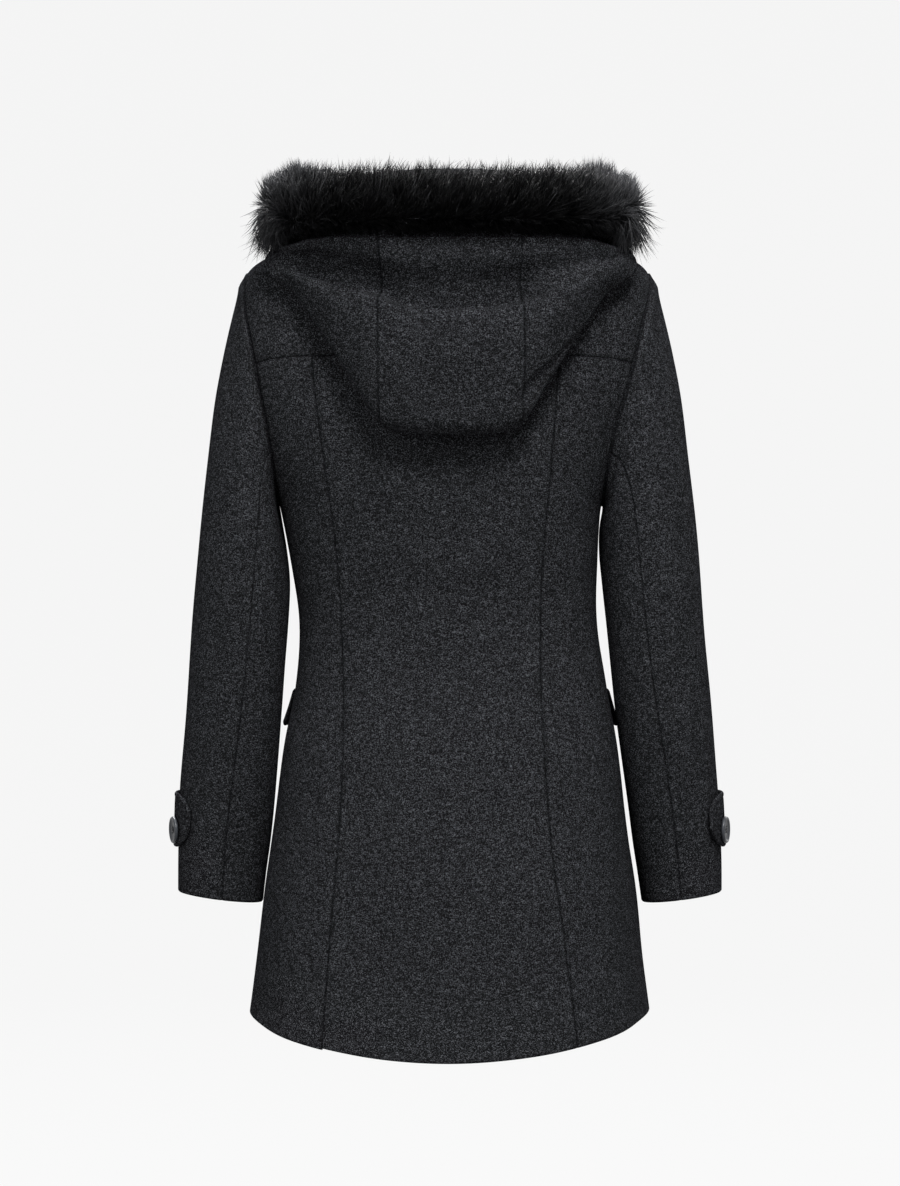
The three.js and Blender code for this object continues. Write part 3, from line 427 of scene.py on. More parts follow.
BACK_FOLDS = [
    (26, -1.5, [(-85, -262), (-40, -292), (10, -301), (60, -294), (104, -268)]),
    (15, 1.1, [(-80, -330), (-30, -338), (30, -334), (92, -322)]),
    (16, -1.2, [(-88, -368), (-36, -372), (24, -366), (100, -356)]),
    (13, 0.9, [(-60, -402), (0, -399), (70, -406)]),
    (24, 1.2, [(-136, -268), (-104, -356), (-98, -452)]),
    (22, 1.0, [(150, -262), (124, -350), (116, -440)]),
    (15, -1.4, [(168, -258), (140, -283), (112, -330)]),
    (14, -1.3, [(-160, -262), (-134, -290), (-108, -336)]),
    (30, -1.6, [(40, -640), (48, -730), (58, -812)]),
    (26, 1.3, [(-52, -600), (-60, -700), (-70, -806)]),
    (20, -1.1, [(-150, -660), (-160, -730), (-166, -790)]),
    (22, 1.1, [(150, -620), (164, -700), (172, -782)]),
]


def back_relief(points):
    return folds(points, BACK_FOLDS) + skirt_flutes(points) + swell(points, 3, 170, 0.9)


def outward_of(grid):
    return np.stack([grid[..., 0], grid[..., 1] * 1.6, np.zeros(grid.shape[:2])], -1)


def body_shell(name, turn, ring, relief, sewn, lift=0):
    grid = above_body(turn, ring, np.broadcast_to(lift, turn.shape))
    return shell(name, grid, outward_of(grid), sewn, relief(grid))


def make_back_centre():
    right_ring, left_ring = seam_rows(back_seam_top("right")[1]), seam_rows(back_seam_top("left")[1])
    right_turn, left_turn = back_seam_turn("right", right_ring), back_seam_turn("left", left_ring)
    share = edged(230)
    count = len(right_ring)
    turn = mix(right_turn[:, None], left_turn[:, None], share)
    straight = mix(yoke_seam_ring(right_turn)[:, None], yoke_seam_ring(left_turn)[:, None], share)
    fade = np.maximum(0, 1 - np.arange(count) / (4 * HOLE_PARTS))[:, None]
    ring = mix(right_ring[:, None], left_ring[:, None], share) + fade * (yoke_seam_ring(turn) - straight)
    turn, ring = with_hem(turn), with_hem(ring)
    return body_shell("back_centre_cloth", turn, ring, back_relief, "lrt")


def side_edge(side, stops):
    """The armhole and side seam edge of a panel."""
    turn, ring = armhole_place(side, stops)
    below = refine([underarm_ring, *side_rings], SIDE_PARTS)[1:]
    return (np.concatenate([turn, np.full(len(below), SIDE_SIGN[side] * QUARTER)]),
            np.concatenate([ring, below]))


def make_back_side(side):
    seam_ring = seam_rows(back_seam_top(side)[1])
    seam_turn = back_seam_turn(side, seam_ring)
    edge_turn, edge_ring = side_edge(side, refine([79, 92, 105, 124, 143, 162, 180], HOLE_PARTS))
    share = edged(96)
    turn = mix(seam_turn[:, None], edge_turn[:, None], share)
    ring = mix(seam_ring[:, None], edge_ring[:, None], share)
    blend = np.maximum(0, 1 - np.arange(len(ring)) / HOLE_PARTS)[:, None]
    ring = mix(ring, yoke_seam_ring(turn), blend)
    if side == "left":
        drop = np.maximum(0, 1 - np.arange(len(ring))[::-1] / SIDE_PARTS)[:, None]
        ring = ring + SIDE_PANEL_DROP * (1 - share) * drop
    turn, ring = with_hem(turn), with_hem(ring)
    return body_shell(f"back_side_{side}_cloth", turn, ring, back_relief, "lrt")


def yoke_relief(points):
    return swell(points, 5, 140, 0.5)


def make_yoke():
    shoulder_turn, shoulder_ring = armhole_place("left", 0)
    neck = refine([0, 0.9, 1.9, 2.9, float(shoulder_ring)], [7, 5, 5, 4])
    hole_turn, hole_ring = armhole_place("left", refine([0, 16, 32, 48, 64, 79], 4)[1:])
    end_turn = np.concatenate([np.full(len(neck), QUARTER), hole_turn])[:, None]
    end_ring = np.concatenate([neck, hole_ring])[:, None]
    seam_turn = mix(-yoke_end_turn, yoke_end_turn, edged(400, 7.5))
    turn = end_turn * seam_turn / yoke_end_turn
    ring = mix(end_ring * yoke_middle_ring / yoke_end_ring, end_ring, (turn / end_turn) ** 2)
    edge = np.concatenate([[0], [0.1, 0.3], np.arange(1, len(turn) - 1), [len(turn) - 1.3, len(turn) - 1.1, len(turn) - 1]])
    turn = np.array([np.interp(edge, np.arange(len(turn)), column) for column in turn.T]).T
    ring = np.array([np.interp(edge, np.arange(len(ring)), column) for column in ring.T]).T
    return body_shell("yoke_cloth", turn, ring, yoke_relief, "lrtb")


def lap_lift(x):
    return LAP_LIFT * smooth((x - LAP_START) / (LAP_FULL - LAP_START))


FRONT_FOLDS = [
    (17, -1.9, [(168, -262), (140, -292), (104, -330)]),
    (17, -1.8, [(-164, -258), (-136, -290), (-98, -326)]),
    (15, 1.2, [(120, -352), (84, -362), (52, -358)]),
    (15, 1.1, [(-126, -350), (-90, -362), (-60, -356)]),
    (16, -1.3, [(122, -392), (80, -402), (44, -396)]),
    (16, -1.2, [(-124, -388), (-86, -398), (-58, -396)]),
    (26, 1.5, [(104, -150), (96, -206), (84, -250)]),
    (26, 1.5, [(-110, -148), (-100, -206), (-88, -250)]),
    (30, -1.7, [(96, -620), (104, -710), (110, -800)]),
    (30, 1.6, [(-92, -600), (-100, -700), (-108, -800)]),
    (24, 1.3, [(50, -560), (54, -670), (60, -790)]),
]


def front_relief(points):
    inside = smooth((np.abs(points[..., 0]) - 34) / 30)  # the closure lies flat
    return (folds(points, FRONT_FOLDS) + skirt_flutes(points) + swell(points, 9, 150, 0.9)) * inside


def make_front(side):
    sign, over = SIDE_SIGN[side], side == "right"
    edge_x, ramp_x = (OVER_EDGE, LAP_FULL) if over else (UNDER_EDGE, OVER_EDGE + 0.5)
    ramp_start = LAP_START if over else -LAP_START
    neck = refine([0, 0.9, 1.9, 2.9], 5)
    stops = refine([360, 341, 322, 304, 286, 268, 250, 233, 216, 198, 180], 5)
    hole_turn, hole_ring = armhole_place(side, stops)
    below = refine([underarm_ring, *side_rings], SIDE_PARTS)[1:]
    join = refine([2.9, float(hole_ring[0])], 4)[1:-1]
    from_ring = np.concatenate([neck, join, hole_ring, below])
    from_turn = np.concatenate([np.full(len(neck) + len(join), sign * QUARTER), hole_turn,
                                np.full(len(below), sign * QUARTER)])
    coarse = np.concatenate([refine(np.arange(4), 5), refine([3, 4], 4)[1:-1], refine(np.arange(4, 15), 5),
                             refine(np.arange(14, 23), SIDE_PARTS)[1:]])
    ring = mix(from_ring, HEM_RING * coarse / 22, 0.5)
    whole = 2 * math.pi if over else 0
    middle_turn = front_turn(ramp_start, ring) - whole
    share = edged(170)[:-4]
    turn = mix(from_turn[:, None], middle_turn[:, None], share / share[-1])
    rings = mix(from_ring[:, None], ring[:, None], share / share[-1])
    reach = abs(edge_x - ramp_start)
    xs = ramp_start + (edge_x - ramp_start) * np.concatenate([np.arange(4, reach - 6, 5), reach - EDGE_STEPS[::-1]]) / reach
    turn = np.concatenate([turn, front_turn(xs[None, :], ring[:, None]) - whole], 1)
    rings = np.concatenate([rings, np.broadcast_to(ring[:, None], (len(ring), len(xs)))], 1)
    turn, rings = with_hem(turn), with_hem(rings)
    lift = lap_lift(body_point(turn, rings)[..., 0]) if over else 0
    grid = above_body(turn, rings, np.broadcast_to(lift, turn.shape))
    # the first columns of edged() lie at the sewn edge; the last ones at the free front edge
    return shell(f"front_{side}_cloth", grid, outward_of(grid), "lt", front_relief(grid))


# Sleeves

def sleeve_point(side, stop, row):
    sign = SIDE_SIGN[side]
    outer_x = through(SLEEVE, "outer_x", row) + sign * OUTER_LEAN * smooth((CUFF_RING - row) / 4)
    inner_x = through(SLEEVE, "inner_x", row) + sign * through(SLEEVE, "lean", row)
    outer_z, inner_z = through(SLEEVE, "outer_z", row), through(SLEEVE, "inner_z", row)

    def near(seam):
        return np.clip(1 - np.abs((stop + 360) % 360 - seam) / SWING_SPREAD, 0, 1)

    head = SWING_HEAD * smooth((row + 1) / 4)
    back_swing = (head + SWING_CUFF * smooth((row - 5) / 5)) * near(BACK_SEAM_STOP)
    angle = (stop - back_swing + head * near(FRONT_SEAM_STOP)) * DEGREE
    out, back = np.cos(angle), np.sin(angle)
    return np.stack([
        sign * ((outer_x + inner_x) / 2 + out * (outer_x - inner_x) / 2),
        through(SLEEVE, "middle_y", row) + back * through(SLEEVE, "half_depth", row),
        (outer_z + inner_z) / 2 + out * (outer_z - inner_z) / 2,
    ], -1)


def sleeve_normal(side, stop, row):
    normal = normal_of(lambda a, b: sleeve_point(side, a, b), stop, row, 0.1, 1e-3)
    middle = sleeve_point(side, stop, row) - sleeve_point(side, stop + 180, row)
    return normal * np.where(np.sum(normal * middle, -1, keepdims=True) < 0, -1, 1)


def above_sleeve(side, stop, row, height):
    stop, row = np.broadcast_arrays(np.asarray(stop, float), np.asarray(row, float))
    return sleeve_point(side, stop, row) + sleeve_normal(side, stop, row) * np.asarray(height, float)[..., None]


def sleeve_head(side, stop, height, inside):
    """The sleeve's edge at the armhole; a negative inside is the seam allowance under the body's cloth."""
    turn, ring = armhole_place(side, stop)
    point = above_body(turn, ring, np.full(turn.shape, float(height)))
    middle = point.copy()
    middle[..., 1], middle[..., 2] = 2, HOLE_Z
    inward = middle - point
    normal = normal_of(body_point, turn, ring)
    inward = unit(inward - normal * np.sum(inward * normal, -1, keepdims=True))
    return point + inward * inside


# Folds of the left sleeve as (stop, row); the right sleeve has its own set.
SLEEVE_FOLDS = {
    "left": [
        (9, 2.2, [(98, 0.2), (88, 2.2), (78, 3.8)]),
        (12, -1.8, [(70, 0.3), (62, 2.0), (56, 3.6)]),
        (9, -1.9, [(128, 1.0), (116, 2.6), (100, 3.4)]),
        (8, -2.0, [(196, 4.6), (232, 5.0), (268, 4.7)]),
        (7, 1.7, [(200, 5.3), (236, 5.6), (276, 5.2)]),
        (8, -1.9, [(205, 6.2), (240, 6.3), (290, 5.9)]),
        (9, 1.2, [(60, 5.2), (90, 5.7), (120, 5.5)]),
        (10, -1.3, [(48, 6.2), (84, 6.6), (118, 6.3)]),
        (8, -1.0, [(150, 7.4), (118, 7.9), (84, 8.2)]),
        (9, 1.5, [(300, 0.4), (290, 2.0), (280, 3.4)]),
        (9, -1.6, [(262, 0.8), (250, 2.2), (246, 3.4)]),
    ],
    "right": [
        (9, 1.9, [(92, 0.2), (84, 2.0), (76, 3.2)]),
        (12, -1.7, [(66, 0.4), (58, 2.4), (50, 4.0)]),
        (9, -2.1, [(132, 0.8), (118, 2.2), (104, 3.0)]),
        (8, -1.9, [(200, 4.4), (234, 4.8), (272, 4.4)]),
        (7, 1.6, [(196, 5.1), (232, 5.5), (270, 5.3)]),
        (8, -1.8, [(210, 6.0), (246, 6.4), (284, 6.1)]),
        (9, 1.3, [(56, 5.5), (86, 5.9), (116, 5.8)]),
        (10, -1.2, [(62, 6.6), (92, 6.9), (124, 6.5)]),
        (9, 1.4, [(304, 0.4), (292, 2.2), (284, 3.2)]),
        (9, -1.5, [(266, 0.6), (252, 2.4), (244, 3.2)]),
    ],
}


def sleeve_relief(side, stop, row, points):
    """Folds across the sleeve, measured on its surface."""
    total = swell(points, 21 if side == "left" else 22, 130, 0.8)
    for width, height, line in SLEEVE_FOLDS[side]:
        stops = np.interp(np.linspace(0, 1, 9), np.linspace(0, 1, len(line)), [p[0] for p in line])
        rows = np.interp(np.linspace(0, 1, 9), np.linspace(0, 1, len(line)), [p[1] for p in line])
        path = sleeve_point(side, stops, rows)
        distance, where = along_line(points, path)
        total += height * np.exp(-(distance / width) ** 2) * smooth(where * 3) * smooth((1 - where) * 3)
    cap = np.exp(-((row + 0.15) / 0.5) ** 2) * np.clip(np.cos(stop * DEGREE) + 0.35, 0, 1)
    return total * smooth((row + 0.6) / 1.2) + 1.6 * cap * smooth(row + 1)


# The sleeve's edge as (height over the body, distance inside the armhole): first the seam allowance.
ALLOWANCE = [(-4.4, -7.0), (-4.2, 0.6), (-1.0, 0.9), (1.8, 0.5)]


def make_sleeve(side, piece, first, last, width):
    stop = first + (last - first) * edged(width, 6)
    rows = np.concatenate([[0, 0.02, 0.06], refine(np.arange(CUFF_RING + 1), 10)[1:]])
    rows = np.concatenate([rows[:-1], CUFF_RING - np.array([0.045, 0.02, 0.008]), rows[-1:]])
    stops, ring = np.meshgrid(stop, rows)
    grid = sleeve_point(side, stops, ring)
    head = [sleeve_head(side, stop, height, inside) for height, inside in ALLOWANCE]
    start = grid[0]
    joined = [*head, *(mix(head[-1], start, s) for s in (0.12, 0.3, 0.5, 0.75))]
    grid = np.concatenate([joined, grid])
    all_rows = np.concatenate([[-1.3, -1.2, -1, -0.9, -0.75, -0.6, -0.4, -0.2], rows])
    stops, ring = np.meshgrid(stop, all_rows)
    centre = grid.mean(axis=1, keepdims=True)
    reference = sleeve_point(side, stops, np.maximum(ring, 0)) - sleeve_point(side, stops + 180, np.maximum(ring, 0))
    relief = sleeve_relief(side, stops, ring, grid)
    seam = np.exp(-((ring + 0.95) / 0.12) ** 2)
    return shell(f"{piece}_sleeve_{side}_cloth", grid, reference, "lr", relief, extra_seam=seam)


# Hood

FUR_DOWN = 0.68  # the hood's cloth covers the lower part of the fur roll across the back


def fur_value(column, row):
    value = through(HOOD, column, np.abs(row))
    if column == "down":
        value = value * mix(FUR_DOWN, 1, smooth((np.abs(row) - 3) / 3))
    return value


def fur_frame(row, sign):
    """The middle of the fur roll at fractional rows, with its level and upright directions."""
    row, sign = np.broadcast_arrays(np.asarray(row, float), np.asarray(sign, float))
    middle = np.stack([sign * fur_value("fur_x", row), fur_value("fur_y", row), fur_value("fur_z", row)], -1)
    before, after = np.maximum(0, row - 0.05), np.minimum(HOOD_LAST, row + 0.05)
    run_x = sign * (fur_value("fur_x", after) - fur_value("fur_x", before))
    run_y = fur_value("fur_y", after) - fur_value("fur_y", before)
    out = unit(np.stack([-sign * run_y, sign * run_x, np.zeros_like(run_x)], -1))
    tilt = (fur_value("tilt", row) * DEGREE)[..., None]
    up = np.array([0.0, 0, 1])
    level = out * np.cos(tilt) - up * np.sin(tilt)
    upright = out * np.sin(tilt) + up * np.cos(tilt)
    return middle, level, upright


def fur_section(row, sign, angle, clear=0, scale=1.0):
    middle, level, upright = fur_frame(row, sign)
    angle = np.asarray(angle, float) * DEGREE
    rise = np.sin(angle)
    height = np.where(rise > 0, fur_value("up", row), fur_value("down", row))
    return (middle + level * ((fur_value("reach", row) * scale + clear) * np.cos(angle))[..., None]
            + upright * ((height * scale + clear) * rise)[..., None])


def hood_stand(neck_turn, sign):
    edge = body_point(sign * neck_turn * DEGREE, 0)
    out = unit(np.array([edge[0], edge[1], 0]))
    lap = lap_lift(edge[0]) if sign < 0 and neck_turn > 90 else 0
    seat = (0.7 if neck_turn > 90 else 1) + lap
    stand = mix(26, 14, smooth((neck_turn - 80) / 80))
    narrow = mix(1, 0.22, smooth((neck_turn - 84) / 50))
    lean, roll = 5 * narrow, 22 * narrow
    crown = mix(9, 3, 1 - narrow)
    places = [(0, 0), (lean * 0.3, stand * 0.45), (lean, stand * 0.9), (lean + roll * 0.22, stand * 0.9 + crown - 1),
              (lean + roll * 0.62, stand * 0.9 + crown), (lean + roll, stand * 0.9 - 2)]
    return [edge + out * (CLOTH + 0.2 + across) + np.array([0, 0, seat + up]) for across, up in places]


LIE_CLEAR, LIE_SPRING, BULGE, TROUGH, TROUGH_AT = 4.6, 12, 13, 9, 0.73


def hood_line(row, sign):
    """The hood's cloth from the neck seam over the roll, down the back, round the fold and up to the fur."""
    value = {column: HOOD[column][row] for column in HOOD}
    standing = hood_stand(value["neck_turn"], sign)
    rim = fur_section(row, sign, value["rim_turn"], 0.56 if row < 5 else 2.96)
    if value["bag"] == 0:
        low = fur_section(row, sign, value["rim_turn"], 15)
        shares = np.arange(1, 13) / 12
        curve = [mix(mix(standing[-1], low, s), mix(low, rim, s), s) for s in shares]
        return np.array([*standing, *curve])
    fold_x, fold_z, bag = sign * value["fold_x"], value["fold_z"], value["bag"]
    turn, ring = place_on_body({"x": fold_x, "z": fold_z}, fold_x / 170, row_where(BODY, "back_z", fold_z))
    neck = sign * value["neck_turn"] * DEGREE
    lying = [above_body(mix(neck, turn, s), mix(1, ring - 0.02, s), LIE_CLEAR + LIE_SPRING * (1 - s) ** 2)
             for s in (0.25, 0.5, 0.75, 0.95)]
    fold = above_body(turn, ring, bag * 0.5 + 1)
    turned = above_body(turn, ring - 0.12, bag)
    away = normal_of(body_point, turn, ring)
    away = unit(away * np.array([1, 1, 0]))
    depth = np.clip((bag - 12) / 18, 0, 1)
    hanging = []
    for share in (0.22, 0.44, 0.6, 0.74, 0.88):
        bulge = BULGE * math.sin(math.pi * share)
        trough = TROUGH * math.exp(-((share - TROUGH_AT) / 0.12) ** 2)
        hanging.append(mix(turned, rim, share) + away * (bulge - trough) * depth)
    return np.array([*standing, *lying, fold, turned, *hanging, rim])


def refine_grid(grid, count, axis):
    """A smooth surface through a coarse grid, with each interval of one axis cut into equal parts."""
    grid = np.moveaxis(grid, axis, 0)
    padded = np.concatenate([[2 * grid[0] - grid[1]], grid, [2 * grid[-1] - grid[-2]]])
    at = refine(np.arange(len(grid)), count)
    i = np.clip(np.floor(at).astype(int), 0, len(grid) - 2)
    f = (at - i)[:, None, None]
    a, b, c, d = (padded[i + k] for k in range(4))
    fine = b + 0.5 * f * (c - a + f * (2 * a - 5 * b + 4 * c - d + f * (3 * (b - c) + d - a)))
    return np.moveaxis(fine, 0, axis)


HOOD_ACROSS = 8
HOOD_ALONG = [4] * 11 + [14] * 6  # finer where the hood hangs and folds


def hood_grid():
    rows = range(HOOD_LAST + 1)
    lines = [hood_line(row, -1) for row in list(rows)[:0:-1]] + [hood_line(row, 1) for row in rows]
    coarse = np.array(lines)
    return refine_grid(refine_grid(coarse, HOOD_ACROSS, 0), HOOD_ALONG, 1)


# Folds of the hood's hanging layer and the crisp lower side of its trough, seen from behind as (x, z).
HOOD_FOLDS = [
    (5, -2.6, [(172, -60), (158, -68), (140, -78)]),
    (5, 1.8, [(170, -52), (158, -59), (142, -68)]),
    (16, 1.6, [(96, -120), (70, -150), (58, -190)]),
    (18, -1.4, [(-20, -150), (0, -176), (30, -190)]),
    (14, 1.4, [(-110, -60), (-104, -90), (-92, -120)]),
    (20, -1.2, [(110, -90), (96, -120), (88, -150)]),
]
TROUGH_LINE = table("x z", [(-150, -60), (-90, -76), (-64, -82), (-38, -87), (10, -90), (46, -85), (66, -76),
                            (100, -68), (128, -61), (164, -54), (185, -48)])
TROUGH_DEPTH, TROUGH_SOFT, TROUGH_CRISP = 22, 22, 6
# Right of this line the cloth is a lower layer, seen from behind as (x, z).
STEP_LINE = table("z x", [(-178, -66), (-163, -76), (-146, -95), (-130, -112), (-112, -128)])
STEP_DEPTH = 4.5
CORNER_OUT = 12  # how far the upper corners reach out over the shoulders


def hood_relief(points, along):
    """Relief of the hanging layer only. along counts the coarse points from the neck seam to the fur."""
    hanging = smooth((along - 10.6) / 0.8) * np.ones(points.shape[:2])
    x, z = points[..., 0], points[..., 2]
    above = z - np.interp(x, TROUGH_LINE["x"], TROUGH_LINE["z"])
    width = np.where(above > 0, TROUGH_SOFT, TROUGH_CRISP)
    ends = smooth((x + 120) / 60) * smooth((182 - x) / 40)
    rim = smooth((17 - along) / 1.6)
    trough = -TROUGH_DEPTH * np.exp(-(np.abs(above) / width) ** 1.35) * ends * rim
    beyond = smooth((np.interp(z, STEP_LINE["z"], STEP_LINE["x"]) - x) / 2.5)
    step = -STEP_DEPTH * beyond * smooth((-118 - z) / 14) * smooth((z + 192) / 10) * (x < -40)
    return (trough + step + folds(points, HOOD_FOLDS) + swell(points, 31, 110, 0.9)) * hanging


def make_hood():
    fine = hood_grid()
    count = len(fine)
    along = refine(np.arange(len(HOOD_ALONG) + 1), HOOD_ALONG)
    hanging = smooth((along - 10.6) / 0.8)[None, :]
    wide = smooth((np.abs(fine[..., 0]) - 125) / 35) * smooth((fine[..., 2] + 85) / 30)
    fine[..., 0] += np.sign(fine[..., 0]) * CORNER_OUT * wide * hanging
    relief = hood_relief(fine, along[None, :])
    cuts = [0, (HOOD_LAST - HOOD_SEAM_ROW) * HOOD_ACROSS, (HOOD_LAST + HOOD_SEAM_ROW) * HOOD_ACROSS, count - 1]
    made = []
    for name, start, end in zip(("hood_side_right", "hood_centre", "hood_side_left"), cuts[:-1], cuts[1:]):
        grid = fine[start:end + 1]
        heights = relief[start:end + 1]
        grid, heights = close_edges(grid, heights)
        outward = np.cross(np.gradient(grid, axis=1), np.gradient(grid, axis=0))
        made.append(shell(f"{name}_cloth", grid, outward, "tblr", heights))
    return made


def close_edges(grid, heights):
    """Adds columns close to both sewn edges of a hood panel, so that its seams stay narrow."""
    def blend(array, steps):
        first, second = array[0], array[1]
        last, before = array[-1], array[-2]
        head = [mix(first, second, s) for s in steps]
        tail = [mix(last, before, s) for s in steps[::-1]]
        return np.concatenate([[first], head, array[1:-1], tail, [last]])
    steps = (0.2, 0.5)
    return blend(grid, steps), blend(heights, steps)


# Fur

FUR_SEED = 811
FUR_PIECES = 4


def fur_core():
    """The dark backing under the pile."""
    rows = np.linspace(-HOOD_LAST, HOOD_LAST, 133)
    angles = np.linspace(0, 360, 33)[:-1]
    row, angle = np.meshgrid(rows, angles, indexing="ij")
    sign = np.where(row < 0, -1.0, 1.0)
    points = fur_section(np.abs(row), sign, angle, 0, 0.6)
    faces = grid_faces(len(rows), len(angles), wrap=True)
    count = points.shape[0] * points.shape[1]
    ends = [points[0].mean(0), points[-1].mean(0)]
    around = np.arange(len(angles))
    nxt = (around + 1) % len(angles)
    last = (len(rows) - 1) * len(angles)
    first_cap = np.stack([around, nxt, np.full(len(angles), count), np.full(len(angles), count)], -1)
    last_cap = np.stack([last + nxt, last + around, np.full(len(angles), count + 1), np.full(len(angles), count + 1)], -1)
    tris = np.concatenate([faces[:, [0, 1, 2]], faces[:, [0, 2, 3]], first_cap[:, :3], last_cap[:, :3]])
    verts = np.concatenate([points.reshape(-1, 3), ends])
    return new_object("fur_backing", verts, tris, {"fur_tone_and_painted_light": np.zeros(len(verts))})


# How far the pile leans towards the wearer's right, by its place across the coat.
FUR_LEAN = table("x lean", [(-200, 0.0), (-172, 0.12), (-145, 0.45), (-100, 0.60), (0, 0.25), (70, 0.45), (120, 0.25), (148, 0.05),
                            (160, -0.1), (200, -0.12)])
FUR_BACK_LIMIT, FUR_FRONT_LIMIT = 190, 152  # beyond these depths the pile lies flatter


def fur_comb(root, radial, row):
    """The direction in which the pile is brushed: up and to one side, and down where the ends hang."""
    lean = np.interp(root[:, 0], FUR_LEAN["x"], FUR_LEAN["lean"])
    up = np.stack([-lean, np.zeros(len(root)), np.ones(len(root))], -1)
    under = smooth((-radial[:, 2] - 0.15) / 0.5)
    at_end = smooth((np.abs(row) - 4.2) / 1.2) * smooth((np.abs(root[:, 0]) - 150) / 14)
    hanging = at_end * smooth((0.25 - radial[:, 2]) / 0.6)
    over_cloth = np.stack([-lean, np.full(len(root), 0.5), np.full(len(root), -0.3)], -1)
    down = np.stack([np.sign(root[:, 0]) * 0.04, np.full(len(root), 0.05), np.full(len(root), -1.0)], -1)
    comb = mix(up, over_cloth, (under * (1 - hanging))[:, None]) + radial * (3.2 * hanging * (1 - hanging))[:, None]
    return unit(mix(comb, down, hanging[:, None])), under * (1 - hanging), hanging, at_end


def strands(name, count, rng, low, high):
    """Tapered strands of fur along a stretch of the roll."""
    rows = np.linspace(-HOOD_LAST, HOOD_LAST, 801)
    middle = fur_frame(np.abs(rows), np.where(rows < 0, -1.0, 1.0))[0]
    travelled = np.concatenate([[0], np.cumsum(np.linalg.norm(np.diff(middle, axis=0), axis=1))])
    row = np.interp(rng.uniform(low, high, count) * travelled[-1], travelled, rows)
    sign = np.where(row < 0, -1.0, 1.0)
    angle = rng.uniform(0, 360, count)
    centre, level, upright = fur_frame(np.abs(row), sign)
    depth = rng.uniform(0.5, 0.68, count)
    root = fur_section(np.abs(row), sign, angle, 0, depth)
    radial = unit(root - centre)
    comb, under, hanging, at_end = fur_comb(root, radial, row)
    comb = unit(comb - radial * np.clip(np.sum(comb * radial, -1, keepdims=True), -1, 0))
    # strands gather in tufts
    tuft_size = 9.0
    cell = np.floor(np.stack([np.interp(row, rows, travelled) / tuft_size, angle / 16.0], -1)).astype(int)
    key = (cell[:, 0] * 73856093 + cell[:, 1] * 19349663) % 100003
    tuft_rng = np.random.default_rng(FUR_SEED)
    tuft_bend = tuft_rng.normal(size=(100003, 3))[key] * np.array([0.30, 0.24, 0.24])
    tuft_length = tuft_rng.uniform(0.75, 1.2, 100003)[key]
    stray = rng.normal(size=(count, 3)) * 0.15
    align = np.clip(np.sum(comb * radial, -1), 0, 1)
    length = 33 * tuft_length * rng.uniform(0.7, 1.1, count) * (1.05 - 0.40 * align)
    length *= mix(1, 0.45, under) * mix(1, 1.45, hanging) * mix(1, 0.72, at_end * (1 - hanging))
    lift = mix(0.62, 0.22, np.maximum(hanging, at_end * 0.4))[:, None]
    first = unit(radial * lift + comb * 0.55 + tuft_bend * 0.4 + stray)
    second = unit(radial * lift * 0.35 + comb * 0.9 + tuft_bend * 0.8 + stray)
    third = unit(comb + tuft_bend * 1.2 + stray * 1.5)
    p0 = root - first * 3
    p1 = root + first * (length * 0.36)[:, None]
    p2 = p1 + second * (length * 0.36)[:, None]
    p3 = p2 + third * (length * 0.32)[:, None]
    for place in (p1, p2, p3):
        beyond = np.maximum(place[:, 1] - FUR_BACK_LIMIT, 0) - np.maximum(-place[:, 1] - FUR_FRONT_LIMIT, 0)
        place[:, 1] -= beyond * 0.65
    side = unit(np.cross(first, rng.normal(size=(count, 3))))
    over = unit(np.cross(first, side))
    width = rng.uniform(0.3, 0.52, count)[:, None]
    rings = []
    for place, share in ((p0, 1.0), (p1, 0.95), (p2, 0.62)):
        rings += [place + side * width * share, place + (over * 0.87 - side * 0.5) * width * share,
                  place - (over * 0.87 + side * 0.5) * width * share]
    points = np.stack([*rings, p3], 1).reshape(-1, 3)
    pattern = []
    for ring in (0, 3):
        for k in range(3):
            a, b = ring + k, ring + (k + 1) % 3
            pattern += [(a, b, b + 3), (a, b + 3, a + 3)]
    pattern += [(6 + k, 6 + (k + 1) % 3, 9) for k in range(3)] + [(0, 2, 1)]
    faces = (np.arange(count)[:, None, None] * 10 + np.array(pattern)[None]).reshape(-1, 3)
    # Painted light: strands near the ends of the roll get a paler colour, the wearer's right end most, and strands
    # along the top of the roll are paler too, as if lit there; strands in the middle stay near black as painted shade.
    # The random tone and the rare pale strands are the fur's own, and each strand's colour grows paler from root to
    # tip.
    painted_end_light = smooth((np.abs(root[:, 0]) - 105) / 80) * np.where(root[:, 0] < 0, 1.0, 0.7)
    painted_top_light = smooth((root[:, 2] - 9) / 22)
    fur_tone_and_painted_light = rng.uniform(0.1, 1, count) * (0.05 + 0.85 * painted_end_light + 0.34 * painted_top_light) + 0.15 * painted_end_light
    fur_tone_and_painted_light += np.where(rng.random(count) > 0.991, 0.7, 0)
    tip = np.array([0.25] * 3 + [0.65] * 3 + [1.0] * 3 + [1.3])
    return new_object(name, points, faces, {"fur_tone_and_painted_light": (fur_tone_and_painted_light[:, None] * tip).ravel()})


STRANDS_PER_PIECE = 9400


def make_fur():
    made = [fur_core()]
    for i in range(FUR_PIECES):
        rng = np.random.default_rng(FUR_SEED + 10 + i)
        low, high = i / FUR_PIECES, (i + 1) / FUR_PIECES
        made.append(strands(f"fur_pile_{i + 1}", STRANDS_PER_PIECE, rng, low, high))
    return made


# Trims

def rounded_patch(outer, name, outward, thickness, relief=0, sewn=""):
    return shell(name, outer, outward, sewn, relief, thickness)


FLAP_HEIGHTS = [-462, -482, -501]
FLAP_LIFTS = [4.45, 5.5, 6.6]


